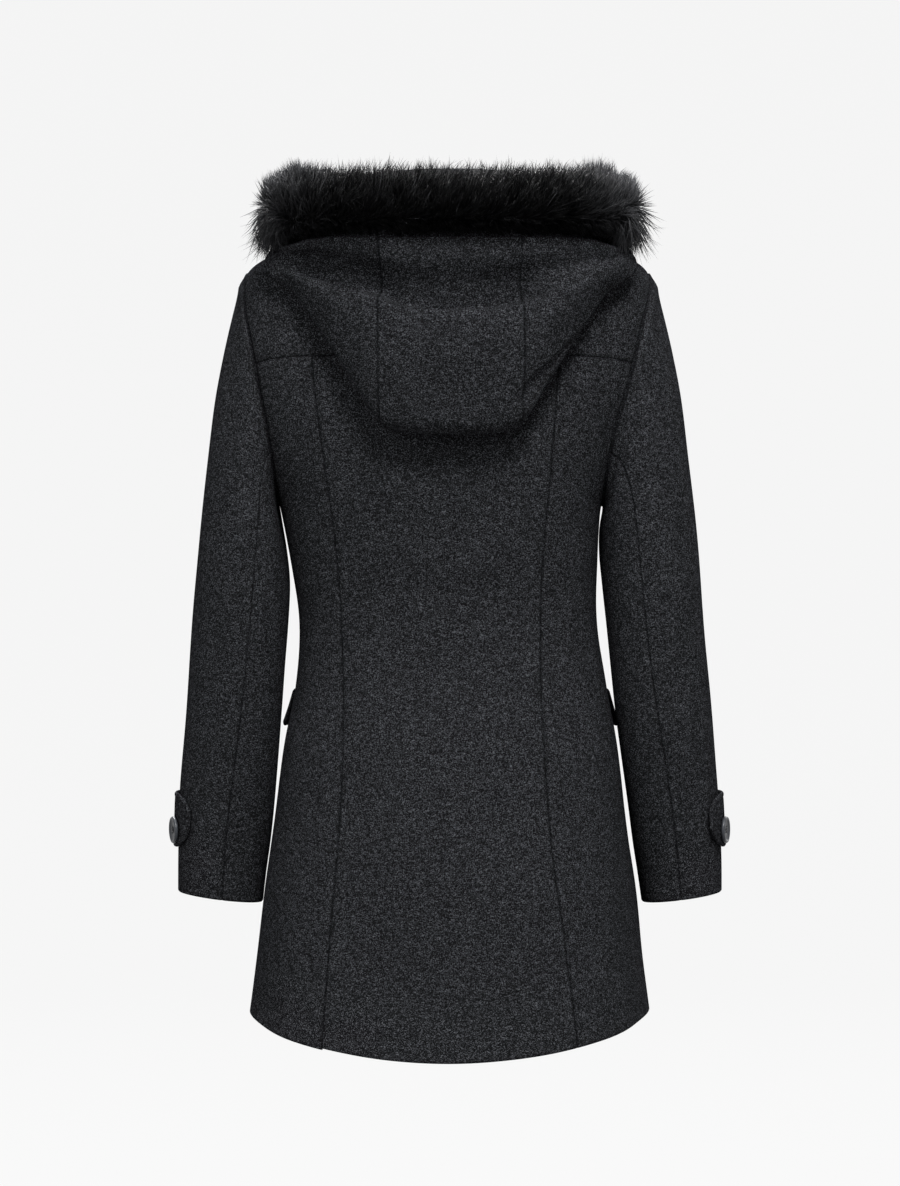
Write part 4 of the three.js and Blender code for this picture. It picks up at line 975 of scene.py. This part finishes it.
def make_flap(side):
    sign = SIDE_SIGN[side]
    down = np.concatenate([EDGE_STEPS, np.arange(8, 34, 3.5), 39 - EDGE_STEPS[::-1]]) / 39
    share = edged(108, 5)
    downs, shares = np.meshgrid(down, share, indexing="ij")
    z = np.interp(downs, [0, 0.5, 1], FLAP_HEIGHTS) + 6 * (shares - 0.5)
    corner = 5 * np.clip(1 - np.minimum(shares, 1 - shares) * 108 / 8, 0, 1) ** 2
    z = np.where(downs > 0.5, z + corner * (downs - 0.5) * 2, z)
    turn = sign * mix(99, 140, shares) * DEGREE
    lift = np.interp(downs, [0, 0.5, 1], FLAP_LIFTS) + 1.6 * (1 - shares) ** 2 * downs
    grid = above_body(turn, row_where(BODY, "side_z", z), lift)
    edge = np.minimum.reduce(edge_distances(grid)[:2] + edge_distances(grid)[3:])
    stitch = -0.7 * np.exp(-((edge - 6) / 1.1) ** 2)
    return shell(f"pocket_flap_{side}_cloth", grid, outward_of(grid), "t", stitch, CLOTH)


TAB_STOPS = [-73, -48, -23, 0, 22, 36, 45, 50]
TAB_HALVES = [28, 28, 28, 28, 27, 23, 16, 8]
TAB_MIDDLE_Z = -595
TAB_RISE = 1.7


def sleeve_row_at(side, stop, z):
    low, high = np.full(stop.shape, 6.0), np.full(stop.shape, float(CUFF_RING))
    for _ in range(30):
        row = (low + high) / 2
        above = sleeve_point(side, stop, row)[..., 2] > z
        low, high = np.where(above, row, low), np.where(above, high, row)
    return low


def make_tab(side):
    at = np.concatenate([[0, 0.03, 0.08], refine(np.arange(8), [4, 4, 4, 4, 4, 4, 5])[1:-1], [6.9, 6.96, 7]])
    stop = np.interp(at, np.arange(8), TAB_STOPS)
    half = np.interp(at, np.arange(8), TAB_HALVES)
    share = edged(56, 4)
    stops, shares = np.meshgrid(stop, share, indexing="ij")
    z = TAB_MIDDLE_Z + mix(half[:, None], -half[:, None], shares)
    row = sleeve_row_at(side, stops, z)
    grid = above_sleeve(side, stops, row, np.full(row.shape, TAB_RISE + CLOTH))
    left, right, top, bottom = edge_distances(grid)
    edge = np.minimum(np.minimum(left, right), bottom)
    stitch = -0.9 * np.exp(-((edge - 6.5) / 1.2) ** 2) + 0.5 * np.exp(-((edge - 3) / 2) ** 2)
    outward = grid - sleeve_point(side, stops + 180, row)
    return shell(f"cuff_tab_{side}_cloth", grid, outward, "", stitch, CLOTH)


def lathe(name, profile, sides=48):
    """A turned piece about +Z from (radius, height) pairs in millimetres; both ends lie on the axis."""
    profile = np.array(profile, float)
    turn = np.arange(sides) * 2 * math.pi / sides
    rings = [np.stack([r * np.cos(turn), r * np.sin(turn), np.full(sides, z)], -1) for r, z in profile[1:-1]]
    points = np.concatenate([*rings, [[0, 0, profile[0][1]], [0, 0, profile[-1][1]]]])
    count = len(rings) * sides
    quads = grid_faces(len(rings), sides, wrap=True)
    around = np.arange(sides)
    nxt = (around + 1) % sides
    last = (len(rings) - 1) * sides
    tris = np.concatenate([quads[:, [0, 1, 2]], quads[:, [0, 2, 3]],
                           np.stack([nxt, around, np.full(sides, count)], -1),
                           np.stack([last + around, last + nxt, np.full(sides, count + 1)], -1)])
    return new_object(name, points, tris)


def cut_holes(obj, places, radius, depth):
    """Round holes through a piece that lies about +Z."""
    for x, y in places:
        bpy.ops.mesh.primitive_cylinder_add(vertices=20, radius=radius * MM, depth=depth * MM, location=(x * MM, y * MM, 0))
        tool = bpy.context.active_object
        cut = obj.modifiers.new("hole", "BOOLEAN")
        cut.object = tool
        cut.operation = "DIFFERENCE"
        cut.solver = "EXACT"
        bpy.context.view_layer.objects.active = obj
        bpy.ops.object.modifier_apply(modifier=cut.name)
        bpy.data.objects.remove(tool, do_unlink=True)


def place_mesh(obj, normal, seat, up=(0, 0, 1)):
    """Turns a mesh from +Z to a direction and moves it; the object itself stays at the origin."""
    normal = Vector(normal).normalized()
    side = Vector(up).cross(normal).normalized()
    over = normal.cross(side)
    for vertex in obj.data.vertices:
        x, y, z = vertex.co
        vertex.co = side * x + over * y + normal * z + Vector(seat) * MM
    obj.data.update()


BUTTON_PROFILE = [(0, 0), (12.2, 0), (13.1, 0.5), (13.5, 1.5), (13.4, 2.6), (12.7, 3.5), (11.6, 3.6), (10.8, 3.1),
                  (9.9, 2.4), (8.2, 2.1), (4.0, 2.0), (0, 2.0)]
BUTTON_STOP, BUTTON_ROW, BUTTON_SEAT = 19, 9.65, 5.6
HOLE_OFFSET, HOLE_RADIUS = 2.6, 1.15


def tube(path, radius, sides=10):
    """Points and faces of a round cord along a dense path."""
    path = np.asarray(path, float)
    tangent = unit(np.gradient(path, axis=0))
    side = unit(np.cross(tangent, [0.13, 0.31, 0.94]))
    over = np.cross(tangent, side)
    turn = np.arange(sides) * 2 * math.pi / sides
    radius = np.broadcast_to(radius, len(path))[:, None, None]
    rings = path[:, None] + radius * (np.cos(turn)[:, None] * side[:, None] + np.sin(turn)[:, None] * over[:, None])
    count = len(path) * sides
    quads = grid_faces(len(path), sides, wrap=True)
    around = np.arange(sides)
    nxt = (around + 1) % sides
    last = (len(path) - 1) * sides
    tris = np.concatenate([quads[:, [0, 1, 2]], quads[:, [0, 2, 3]],
                           np.stack([nxt, around, np.full(sides, count)], -1),
                           np.stack([last + around, last + nxt, np.full(sides, count + 1)], -1)])
    return np.concatenate([rings.reshape(-1, 3), path[:1], path[-1:]]), tris


def merged(name, parts):
    """One mesh from several sets of points and faces."""
    starts = np.cumsum([0] + [len(points) for points, _ in parts])
    faces = [tris + start for (_, tris), start in zip(parts, starts)]
    return new_object(name, np.concatenate([points for points, _ in parts]), np.concatenate(faces))


def curve_through(points, count):
    points = np.asarray(points, float)[:, None, :]
    return refine_grid(points, count, 0)[:, 0, :]


def make_button(side):
    button = lathe(f"cuff_button_{side}_body", BUTTON_PROFILE)
    places = [(sx * HOLE_OFFSET, sy * HOLE_OFFSET) for sx in (1, -1) for sy in (1, -1)]
    cut_holes(button, places, HOLE_RADIUS, 12)
    normal = sleeve_normal(side, np.array(float(BUTTON_STOP)), np.array(BUTTON_ROW))
    seat = above_sleeve(side, np.array(float(BUTTON_STOP)), np.array(BUTTON_ROW), np.array(BUTTON_SEAT - 0.6))
    thread = []
    for k, (x0, y0, x1, y1) in enumerate(((1, 1, -1, -1), (1, -1, -1, 1))):
        xs = np.linspace(x0, x1, 9) * HOLE_OFFSET
        ys = np.linspace(y0, y1, 9) * HOLE_OFFSET
        zs = 2.2 + 0.5 * np.sin(np.linspace(0, math.pi, 9)) + 0.35 * k
        zs[0] = zs[-1] = 0.4
        thread.append(tube(np.stack([xs, ys, zs], -1), 0.55, 8))
    stitches = merged(f"cuff_button_{side}_thread", thread)
    for piece in (button, stitches):
        place_mesh(piece, normal, seat)
    return button, stitches


def front_point(x, z, height):
    x, z = np.broadcast_arrays(np.asarray(x, float), np.asarray(z, float))
    ring = row_where(BODY, "front_z", z)
    turn = front_turn(x, ring)
    for _ in range(6):
        ring = ring + (body_point(turn, ring)[..., 2] - z) / 70
        turn = front_turn(x, ring)
    lift = lap_lift(x) * (1 - smooth((x - OVER_EDGE - 6) / 12))
    return above_body(turn, ring, height + lift)


CLOSURE_HEIGHTS = [-135, -245, -355, -465]
TOGGLE_PROFILE = [(0, -26.2), (1.6, -26), (3.0, -25.2), (4.4, -23), (5.6, -19.5), (6.6, -13), (7.1, -6.5), (6.7, -3.4),
                  (5.6, -2.2), (5.3, 0), (5.6, 2.2), (6.7, 3.4), (7.1, 6.5), (6.6, 13), (5.6, 19.5), (4.4, 23), (3.0, 25.2),
                  (1.6, 26), (0, 26.2)]
TOGGLE_HEIGHT = 11.8
PATCH_HALF = 15


def make_patch(name, from_x, to_x, z):
    down = np.concatenate([EDGE_STEPS, np.arange(8, 23, 3), 30 - EDGE_STEPS[::-1]]) / 30
    downs, shares = np.meshgrid(down, down, indexing="ij")
    u, v = (shares - 0.5) * 2, (downs - 0.5) * 2
    round_off = 1 - 0.13 * (np.maximum(np.abs(u) + np.abs(v) - 1.5, 0) / 0.5) ** 2
    grid = front_point((from_x + to_x) / 2 + u * round_off * (to_x - from_x) / 2, z - v * round_off * PATCH_HALF,
                       np.full(u.shape, 2.8))
    edge = np.minimum.reduce(edge_distances(grid))
    relief = -0.45 * np.exp(-((edge - 2.8) / 0.7) ** 2)
    return shell(name, grid, outward_of(grid), "", relief, 1.6)


STITCH_INSET, STITCHES = 3.2, 8


def patch_stitches(from_x, to_x, z):
    """A row of stitches round a patch, just inside its edge."""
    half_x, half_z = (to_x - from_x) / 2 - STITCH_INSET, PATCH_HALF - STITCH_INSET
    share = (np.arange(STITCHES)[:, None] + np.array([0.14, 0.5, 0.86])) / STITCHES
    sides = ((-1, 1, 1, 1), (1, 1, 1, -1), (1, -1, -1, -1), (-1, -1, -1, 1))
    x = np.concatenate([(from_x + to_x) / 2 + mix(a, c, share) * half_x for a, _, c, _ in sides])
    at_z = np.concatenate([z + mix(b, d, share) * half_z for _, b, _, d in sides])
    paths = front_point(x, at_z, np.broadcast_to([2.3, 2.75, 2.3], x.shape))
    return [tube(curve_through(path, 3), 0.3, 6) for path in paths]


def make_closure(i, z):
    toggle = lathe(f"toggle_{i}_body", TOGGLE_PROFILE, 32)
    middle = front_point(0.0, float(z), np.array(TOGGLE_HEIGHT))
    for vertex in toggle.data.vertices:
        x, y, zz = vertex.co
        vertex.co = Vector((zz, y, x)) + Vector(middle) * MM
    toggle.data.update()
    ends = [(46, 7), (30, 7), (2, 7), (-6, 0), (2, -7), (30, -7), (46, -7)]
    path = front_point(np.array([e[0] for e in ends]), z + np.array([e[1] for e in ends]), np.full(7, 2.6))
    route = curve_through(path, 14)
    braid = 2.0 + 0.14 * np.sin(np.arange(len(route)) * 1.9)
    loop = merged(f"loop_{i}_cord", [tube(route, braid, 12)])
    tie = [(-34, 3), (-18, 3), (-2, 2.2), (3, 0), (-2, -2.2), (-18, -3), (-34, -3)]
    rise = np.array([2.6, 3.0, 6.2, 6.6, 6.2, 3.0, 2.6])
    path = front_point(np.array([t[0] for t in tie]), z + np.array([t[1] for t in tie]), rise)
    holder = merged(f"toggle_{i}_cord", [tube(curve_through(path, 12), 1.7, 10)])
    pieces = {
        "toggle": toggle, "loop": loop, "holder": holder,
        "loop_patch": make_patch(f"loop_patch_{i}_leather", 47, 77, z),
        "toggle_patch": make_patch(f"toggle_patch_{i}_leather", -64, -34, z),
    }
    pieces["stitches"] = merged(f"closure_{i}_stitches", patch_stitches(47, 77, z) + patch_stitches(-64, -34, z))
    return pieces


# Materials

def material(name):
    made = bpy.data.materials.new(name)
    made.use_nodes = True
    nodes = made.node_tree.nodes
    nodes.clear()
    out = nodes.new("ShaderNodeOutputMaterial")
    shader = nodes.new("ShaderNodeBsdfPrincipled")
    made.node_tree.links.new(shader.outputs[0], out.inputs[0])
    return made, made.node_tree, shader


def node(tree, kind, inputs=None, **settings):
    made = tree.nodes.new("ShaderNode" + kind)
    for key, value in settings.items():
        setattr(made, key, value)
    for key, value in (inputs or {}).items():
        if isinstance(value, bpy.types.NodeSocket):
            tree.links.new(value, made.inputs[key])
        else:
            made.inputs[key].default_value = value
    return made


def noise(tree, vector, scale, detail=2.0, rough=0.5):
    return node(tree, "TexNoise", {"Vector": vector, "Scale": scale, "Detail": detail, "Roughness": rough}).outputs["Fac"]


def ramp(tree, value, low, high):
    return node(tree, "MapRange", {"Value": value, "From Min": low, "From Max": high}, clamp=True).outputs["Result"]


def math_node(tree, operation, a, b=0.0):
    return node(tree, "Math", {0: a, 1: b}, operation=operation).outputs[0]


def blend(tree, share, a, b):
    made = node(tree, "Mix", data_type="RGBA")
    for key, value in ((0, share), (6, a), (7, b)):
        if isinstance(value, bpy.types.NodeSocket):
            tree.links.new(value, made.inputs[key])
        else:
            made.inputs[key].default_value = value
    return made.outputs[2]


def bump(tree, height, strength, distance, shader):
    made = node(tree, "Bump", {"Height": height, "Strength": strength, "Distance": distance})
    tree.links.new(made.outputs[0], shader.inputs["Normal"])


WOOL_DARK = (0.0013, 0.0013, 0.0015, 1)
WOOL_MID = (0.0062, 0.0063, 0.0068, 1)
WOOL_PALE = (0.0575, 0.060, 0.066, 1)


def wool():
    """Melange wool: dark ground, mid fibres, and pale flecks that lie mostly level and gather in clumps."""
    made, tree, shader = material("wool_coating")
    place = node(tree, "TexCoord").outputs["Object"]
    level = node(tree, "Mapping", {"Vector": place, "Scale": (1.0, 1.0, 1.7)}).outputs[0]
    fibres = noise(tree, level, 1000, 3, 0.65)
    ground = blend(tree, ramp(tree, fibres, 0.36, 0.66), WOOL_DARK, WOOL_MID)
    clumps = noise(tree, level, 190, 2, 0.55)
    flecks = noise(tree, level, 840, 1.5, 0.55)
    lifted = math_node(tree, "ADD", flecks, math_node(tree, "MULTIPLY", math_node(tree, "SUBTRACT", clumps, 0.5), 0.22))
    pale = math_node(tree, "MULTIPLY", ramp(tree, lifted, 0.52, 0.72), 0.9)
    colour = blend(tree, pale, ground, WOOL_PALE)
    seam = node(tree, "Attribute", attribute_name="seam").outputs["Fac"]
    colour = blend(tree, math_node(tree, "MULTIPLY", seam, 0.6), colour, (0.0012, 0.0012, 0.0014, 1))
    tree.links.new(colour, shader.inputs["Base Color"])
    rough = node(tree, "MapRange", {"Value": fibres, "To Min": 0.86, "To Max": 1.0}).outputs["Result"]
    tree.links.new(rough, shader.inputs["Roughness"])
    shader.inputs["Specular IOR Level"].default_value = 0.0
    nap = noise(tree, level, 1150, 3, 0.7)
    felt = noise(tree, place, 260, 2, 0.5)
    height = math_node(tree, "ADD", math_node(tree, "MULTIPLY", nap, 0.6), math_node(tree, "MULTIPLY", felt, 0.5))
    bump(tree, height, 0.55, 0.0009, shader)
    return made


def fur():
    made, tree, shader = material("faux_fur")
    # The attribute holds each strand's own random tone, with painted light on the ends and top of the roll and painted
    # shade in its middle.
    fur_tone_and_painted_light = node(tree, "Attribute", attribute_name="fur_tone_and_painted_light").outputs["Fac"]
    colour = blend(tree, ramp(tree, fur_tone_and_painted_light, 0.0, 1.6), (0.0002, 0.0002, 0.0003, 1), (0.051, 0.052, 0.056, 1))
    tree.links.new(colour, shader.inputs["Base Color"])
    place = node(tree, "TexCoord").outputs["Object"]
    rough = node(tree, "MapRange", {"Value": noise(tree, place, 120), "To Min": 0.42, "To Max": 0.62}).outputs["Result"]
    tree.links.new(rough, shader.inputs["Roughness"])
    shader.inputs["Specular IOR Level"].default_value = 0.05
    return made


def plastic():
    made, tree, shader = material("button_plastic")
    place = node(tree, "TexCoord").outputs["Object"]
    cloud = noise(tree, place, 90, 3, 0.6)
    colour = blend(tree, cloud, (0.010, 0.011, 0.013, 1), (0.024, 0.026, 0.030, 1))
    tree.links.new(colour, shader.inputs["Base Color"])
    rough = node(tree, "MapRange", {"Value": noise(tree, place, 700), "To Min": 0.30, "To Max": 0.46}).outputs["Result"]
    tree.links.new(rough, shader.inputs["Roughness"])
    shader.inputs["Specular IOR Level"].default_value = 0.2
    bump(tree, noise(tree, place, 900), 0.08, 0.0002, shader)
    return made


def horn():
    made, tree, shader = material("toggle_horn")
    place = node(tree, "TexCoord").outputs["Object"]
    long = node(tree, "Mapping", {"Vector": place, "Scale": (0.22, 1.0, 1.0)}).outputs[0]
    streak = noise(tree, long, 420, 4, 0.6)
    colour = blend(tree, ramp(tree, streak, 0.4, 0.72), (0.006, 0.0045, 0.0038, 1), (0.040, 0.026, 0.017, 1))
    tree.links.new(colour, shader.inputs["Base Color"])
    shader.inputs["Roughness"].default_value = 0.34
    bump(tree, streak, 0.12, 0.0003, shader)
    return made


def braid():
    made, tree, shader = material("cord")
    place = node(tree, "TexCoord").outputs["Object"]
    turned = node(tree, "Mapping", {"Vector": place, "Rotation": (0, 0.7, 0)}).outputs[0]
    wave = node(tree, "TexWave", {"Vector": turned, "Scale": 330, "Distortion": 1.2}).outputs["Fac"]
    colour = blend(tree, wave, (0.002, 0.002, 0.0025, 1), (0.009, 0.009, 0.010, 1))
    tree.links.new(colour, shader.inputs["Base Color"])
    shader.inputs["Roughness"].default_value = 0.7
    bump(tree, wave, 0.5, 0.0005, shader)
    return made


def leather():
    made, tree, shader = material("patch_leather")
    place = node(tree, "TexCoord").outputs["Object"]
    cells = node(tree, "TexVoronoi", {"Vector": place, "Scale": 900}).outputs["Distance"]
    colour = blend(tree, noise(tree, place, 160, 3, 0.6), (0.004, 0.004, 0.0045, 1), (0.009, 0.009, 0.010, 1))
    tree.links.new(colour, shader.inputs["Base Color"])
    shader.inputs["Roughness"].default_value = 0.5
    shader.inputs["Specular IOR Level"].default_value = 0.15
    bump(tree, cells, 0.3, 0.0003, shader)
    return made


def thread():
    made, tree, shader = material("sewing_thread")
    place = node(tree, "TexCoord").outputs["Object"]
    wave = node(tree, "TexWave", {"Vector": place, "Scale": 900, "Distortion": 2.0}).outputs["Fac"]
    tree.links.new(blend(tree, wave, (0.004, 0.004, 0.005, 1), (0.02, 0.02, 0.023, 1)), shader.inputs["Base Color"])
    shader.inputs["Roughness"].default_value = 0.6
    return made


WOOL, FUR, PLASTIC, HORN, BRAID, LEATHER, THREAD = wool(), fur(), plastic(), horn(), braid(), leather(), thread()


def dress(obj, look, slot, *nodes):
    obj.data.materials.clear()
    obj.data.materials.append(look)
    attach(obj, "root")
    if nodes:
        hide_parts(*nodes)
    return obj


def build():
    cloths = [
        (make_yoke(), "yoke"), (make_back_centre(), "back_centre"),
        (make_back_side("left"), "back_side_left"), (make_back_side("right"), "back_side_right"),
        (make_front("left"), "front_left"), (make_front("right"), "front_right"),
    ]
    for side in ("left", "right"):
        cloths.append((make_sleeve(side, "top", FRONT_SEAM_STOP - 360, BACK_SEAM_STOP, 215), f"top_sleeve_{side}"))
        cloths.append((make_sleeve(side, "under", BACK_SEAM_STOP, FRONT_SEAM_STOP, 100), f"under_sleeve_{side}"))
        cloths.append((make_flap(side), f"pocket_flap_{side}"))
        cloths.append((make_tab(side), f"cuff_tab_{side}"))
    for obj, node_name in zip(make_hood(), ("hood_side_right", "hood_centre", "hood_side_left")):
        cloths.append((obj, node_name))
    for obj, node_name in cloths:
        dress(obj, WOOL, "wool_coating", node_name)
    for side in ("left", "right"):
        button, stitches = make_button(side)
        dress(button, PLASTIC, "button_plastic", f"cuff_button_{side}")
        dress(stitches, THREAD, "cord")
    for i, z in enumerate(CLOSURE_HEIGHTS, 1):
        pieces = make_closure(i, z)
        dress(pieces["toggle"], HORN, "toggle_horn", f"toggle_{i}")
        dress(pieces["loop"], BRAID, "cord", f"loop_{i}")
        dress(pieces["holder"], BRAID, "cord")
        dress(pieces["loop_patch"], LEATHER, "patch_leather", f"loop_patch_{i}")
        dress(pieces["toggle_patch"], LEATHER, "patch_leather", f"toggle_patch_{i}")
        dress(pieces["stitches"], THREAD, "cord")
    for obj in make_fur():
        dress(obj, FUR, "faux_fur", "fur_edge")


# Camera, light and stage

VIEW_Z, VIEW_DISTANCE = -0.368, 3.2
VIEW_HEIGHT = 1.186


def look_at(obj, target):
    obj.rotation_euler = (Vector(target) - obj.location).to_track_quat("-Z", "Y").to_euler()


def make_camera():
    data = bpy.data.cameras.new("camera")
    data.sensor_fit = "AUTO"
    data.sensor_width = 36
    data.lens = 36 * VIEW_DISTANCE / VIEW_HEIGHT
    data.clip_end = 50
    camera = bpy.data.objects.new("camera", data)
    camera.location = (0, VIEW_DISTANCE, VIEW_Z)
    bpy.context.scene.collection.objects.link(camera)
    look_at(camera, (0, 0, VIEW_Z))
    bpy.context.scene.camera = camera


def area_light(name, place, target, size, power):
    data = bpy.data.lights.new(name, "AREA")
    data.shape = "DISK"
    data.size = size
    data.energy = power
    light = bpy.data.objects.new(name, data)
    light.location = place
    bpy.context.scene.collection.objects.link(light)
    look_at(light, target)


def make_stage():
    """A pale floor far below the hem that curves up into a wall, all round."""
    floor_z, radius, bend = -1.35, 6.0, 1.2
    profile = [(0, floor_z)] + [(r, floor_z) for r in (1, 2, 3, 4)]
    for k in range(9):
        angle = k / 8 * QUARTER
        profile.append((radius - bend + bend * math.sin(angle), floor_z + bend - bend * math.cos(angle)))
    profile.append((radius, 6.0))
    turn = np.arange(64) * 2 * math.pi / 64
    rings = [np.stack([r * np.cos(turn), r * np.sin(turn), np.full(64, z)], -1) for r, z in profile[1:]]
    points = np.concatenate([*rings, [[0, 0, floor_z]]]) / MM
    quads = grid_faces(len(rings), 64, wrap=True)
    around = np.arange(64)
    centre = np.stack([(around + 1) % 64, around, np.full(64, len(rings) * 64)], -1)
    tris = np.concatenate([quads[:, [0, 1, 2]], quads[:, [0, 2, 3]], centre])
    stage = new_object("stage", points, tris)
    made, tree, shader = material("stage_paper")
    shader.inputs["Base Color"].default_value = (0.015, 0.015, 0.015, 1)
    shader.inputs["Roughness"].default_value = 1.0
    shader.inputs["Specular IOR Level"].default_value = 0.0
    shader.inputs["Emission Color"].default_value = (1, 1, 1, 1)
    shader.inputs["Emission Strength"].default_value = 0.885
    stage.data.materials.append(made)


def make_light():
    world = bpy.data.worlds.new("world")
    world.use_nodes = True
    world.node_tree.nodes["Background"].inputs[0].default_value = (1, 1, 1, 1)
    world.node_tree.nodes["Background"].inputs[1].default_value = 0.9
    bpy.context.scene.world = world
    aim = (0, 0, -0.35)
    area_light("key", (-0.7, 3.0, 3.2), aim, 1.3, 500)
    area_light("fill", (2.2, 3.6, 1.2), aim, 2.0, 70)
    area_light("front_key", (0.7, -3.0, 3.2), aim, 1.3, 500)
    area_light("front_fill", (-2.2, -3.6, 1.2), aim, 2.0, 70)
    area_light("top", (0, 0.3, 3.2), aim, 2.0, 130)
    bpy.context.scene.view_settings.view_transform = "Standard"


build()
make_camera()
make_stage()
make_light()
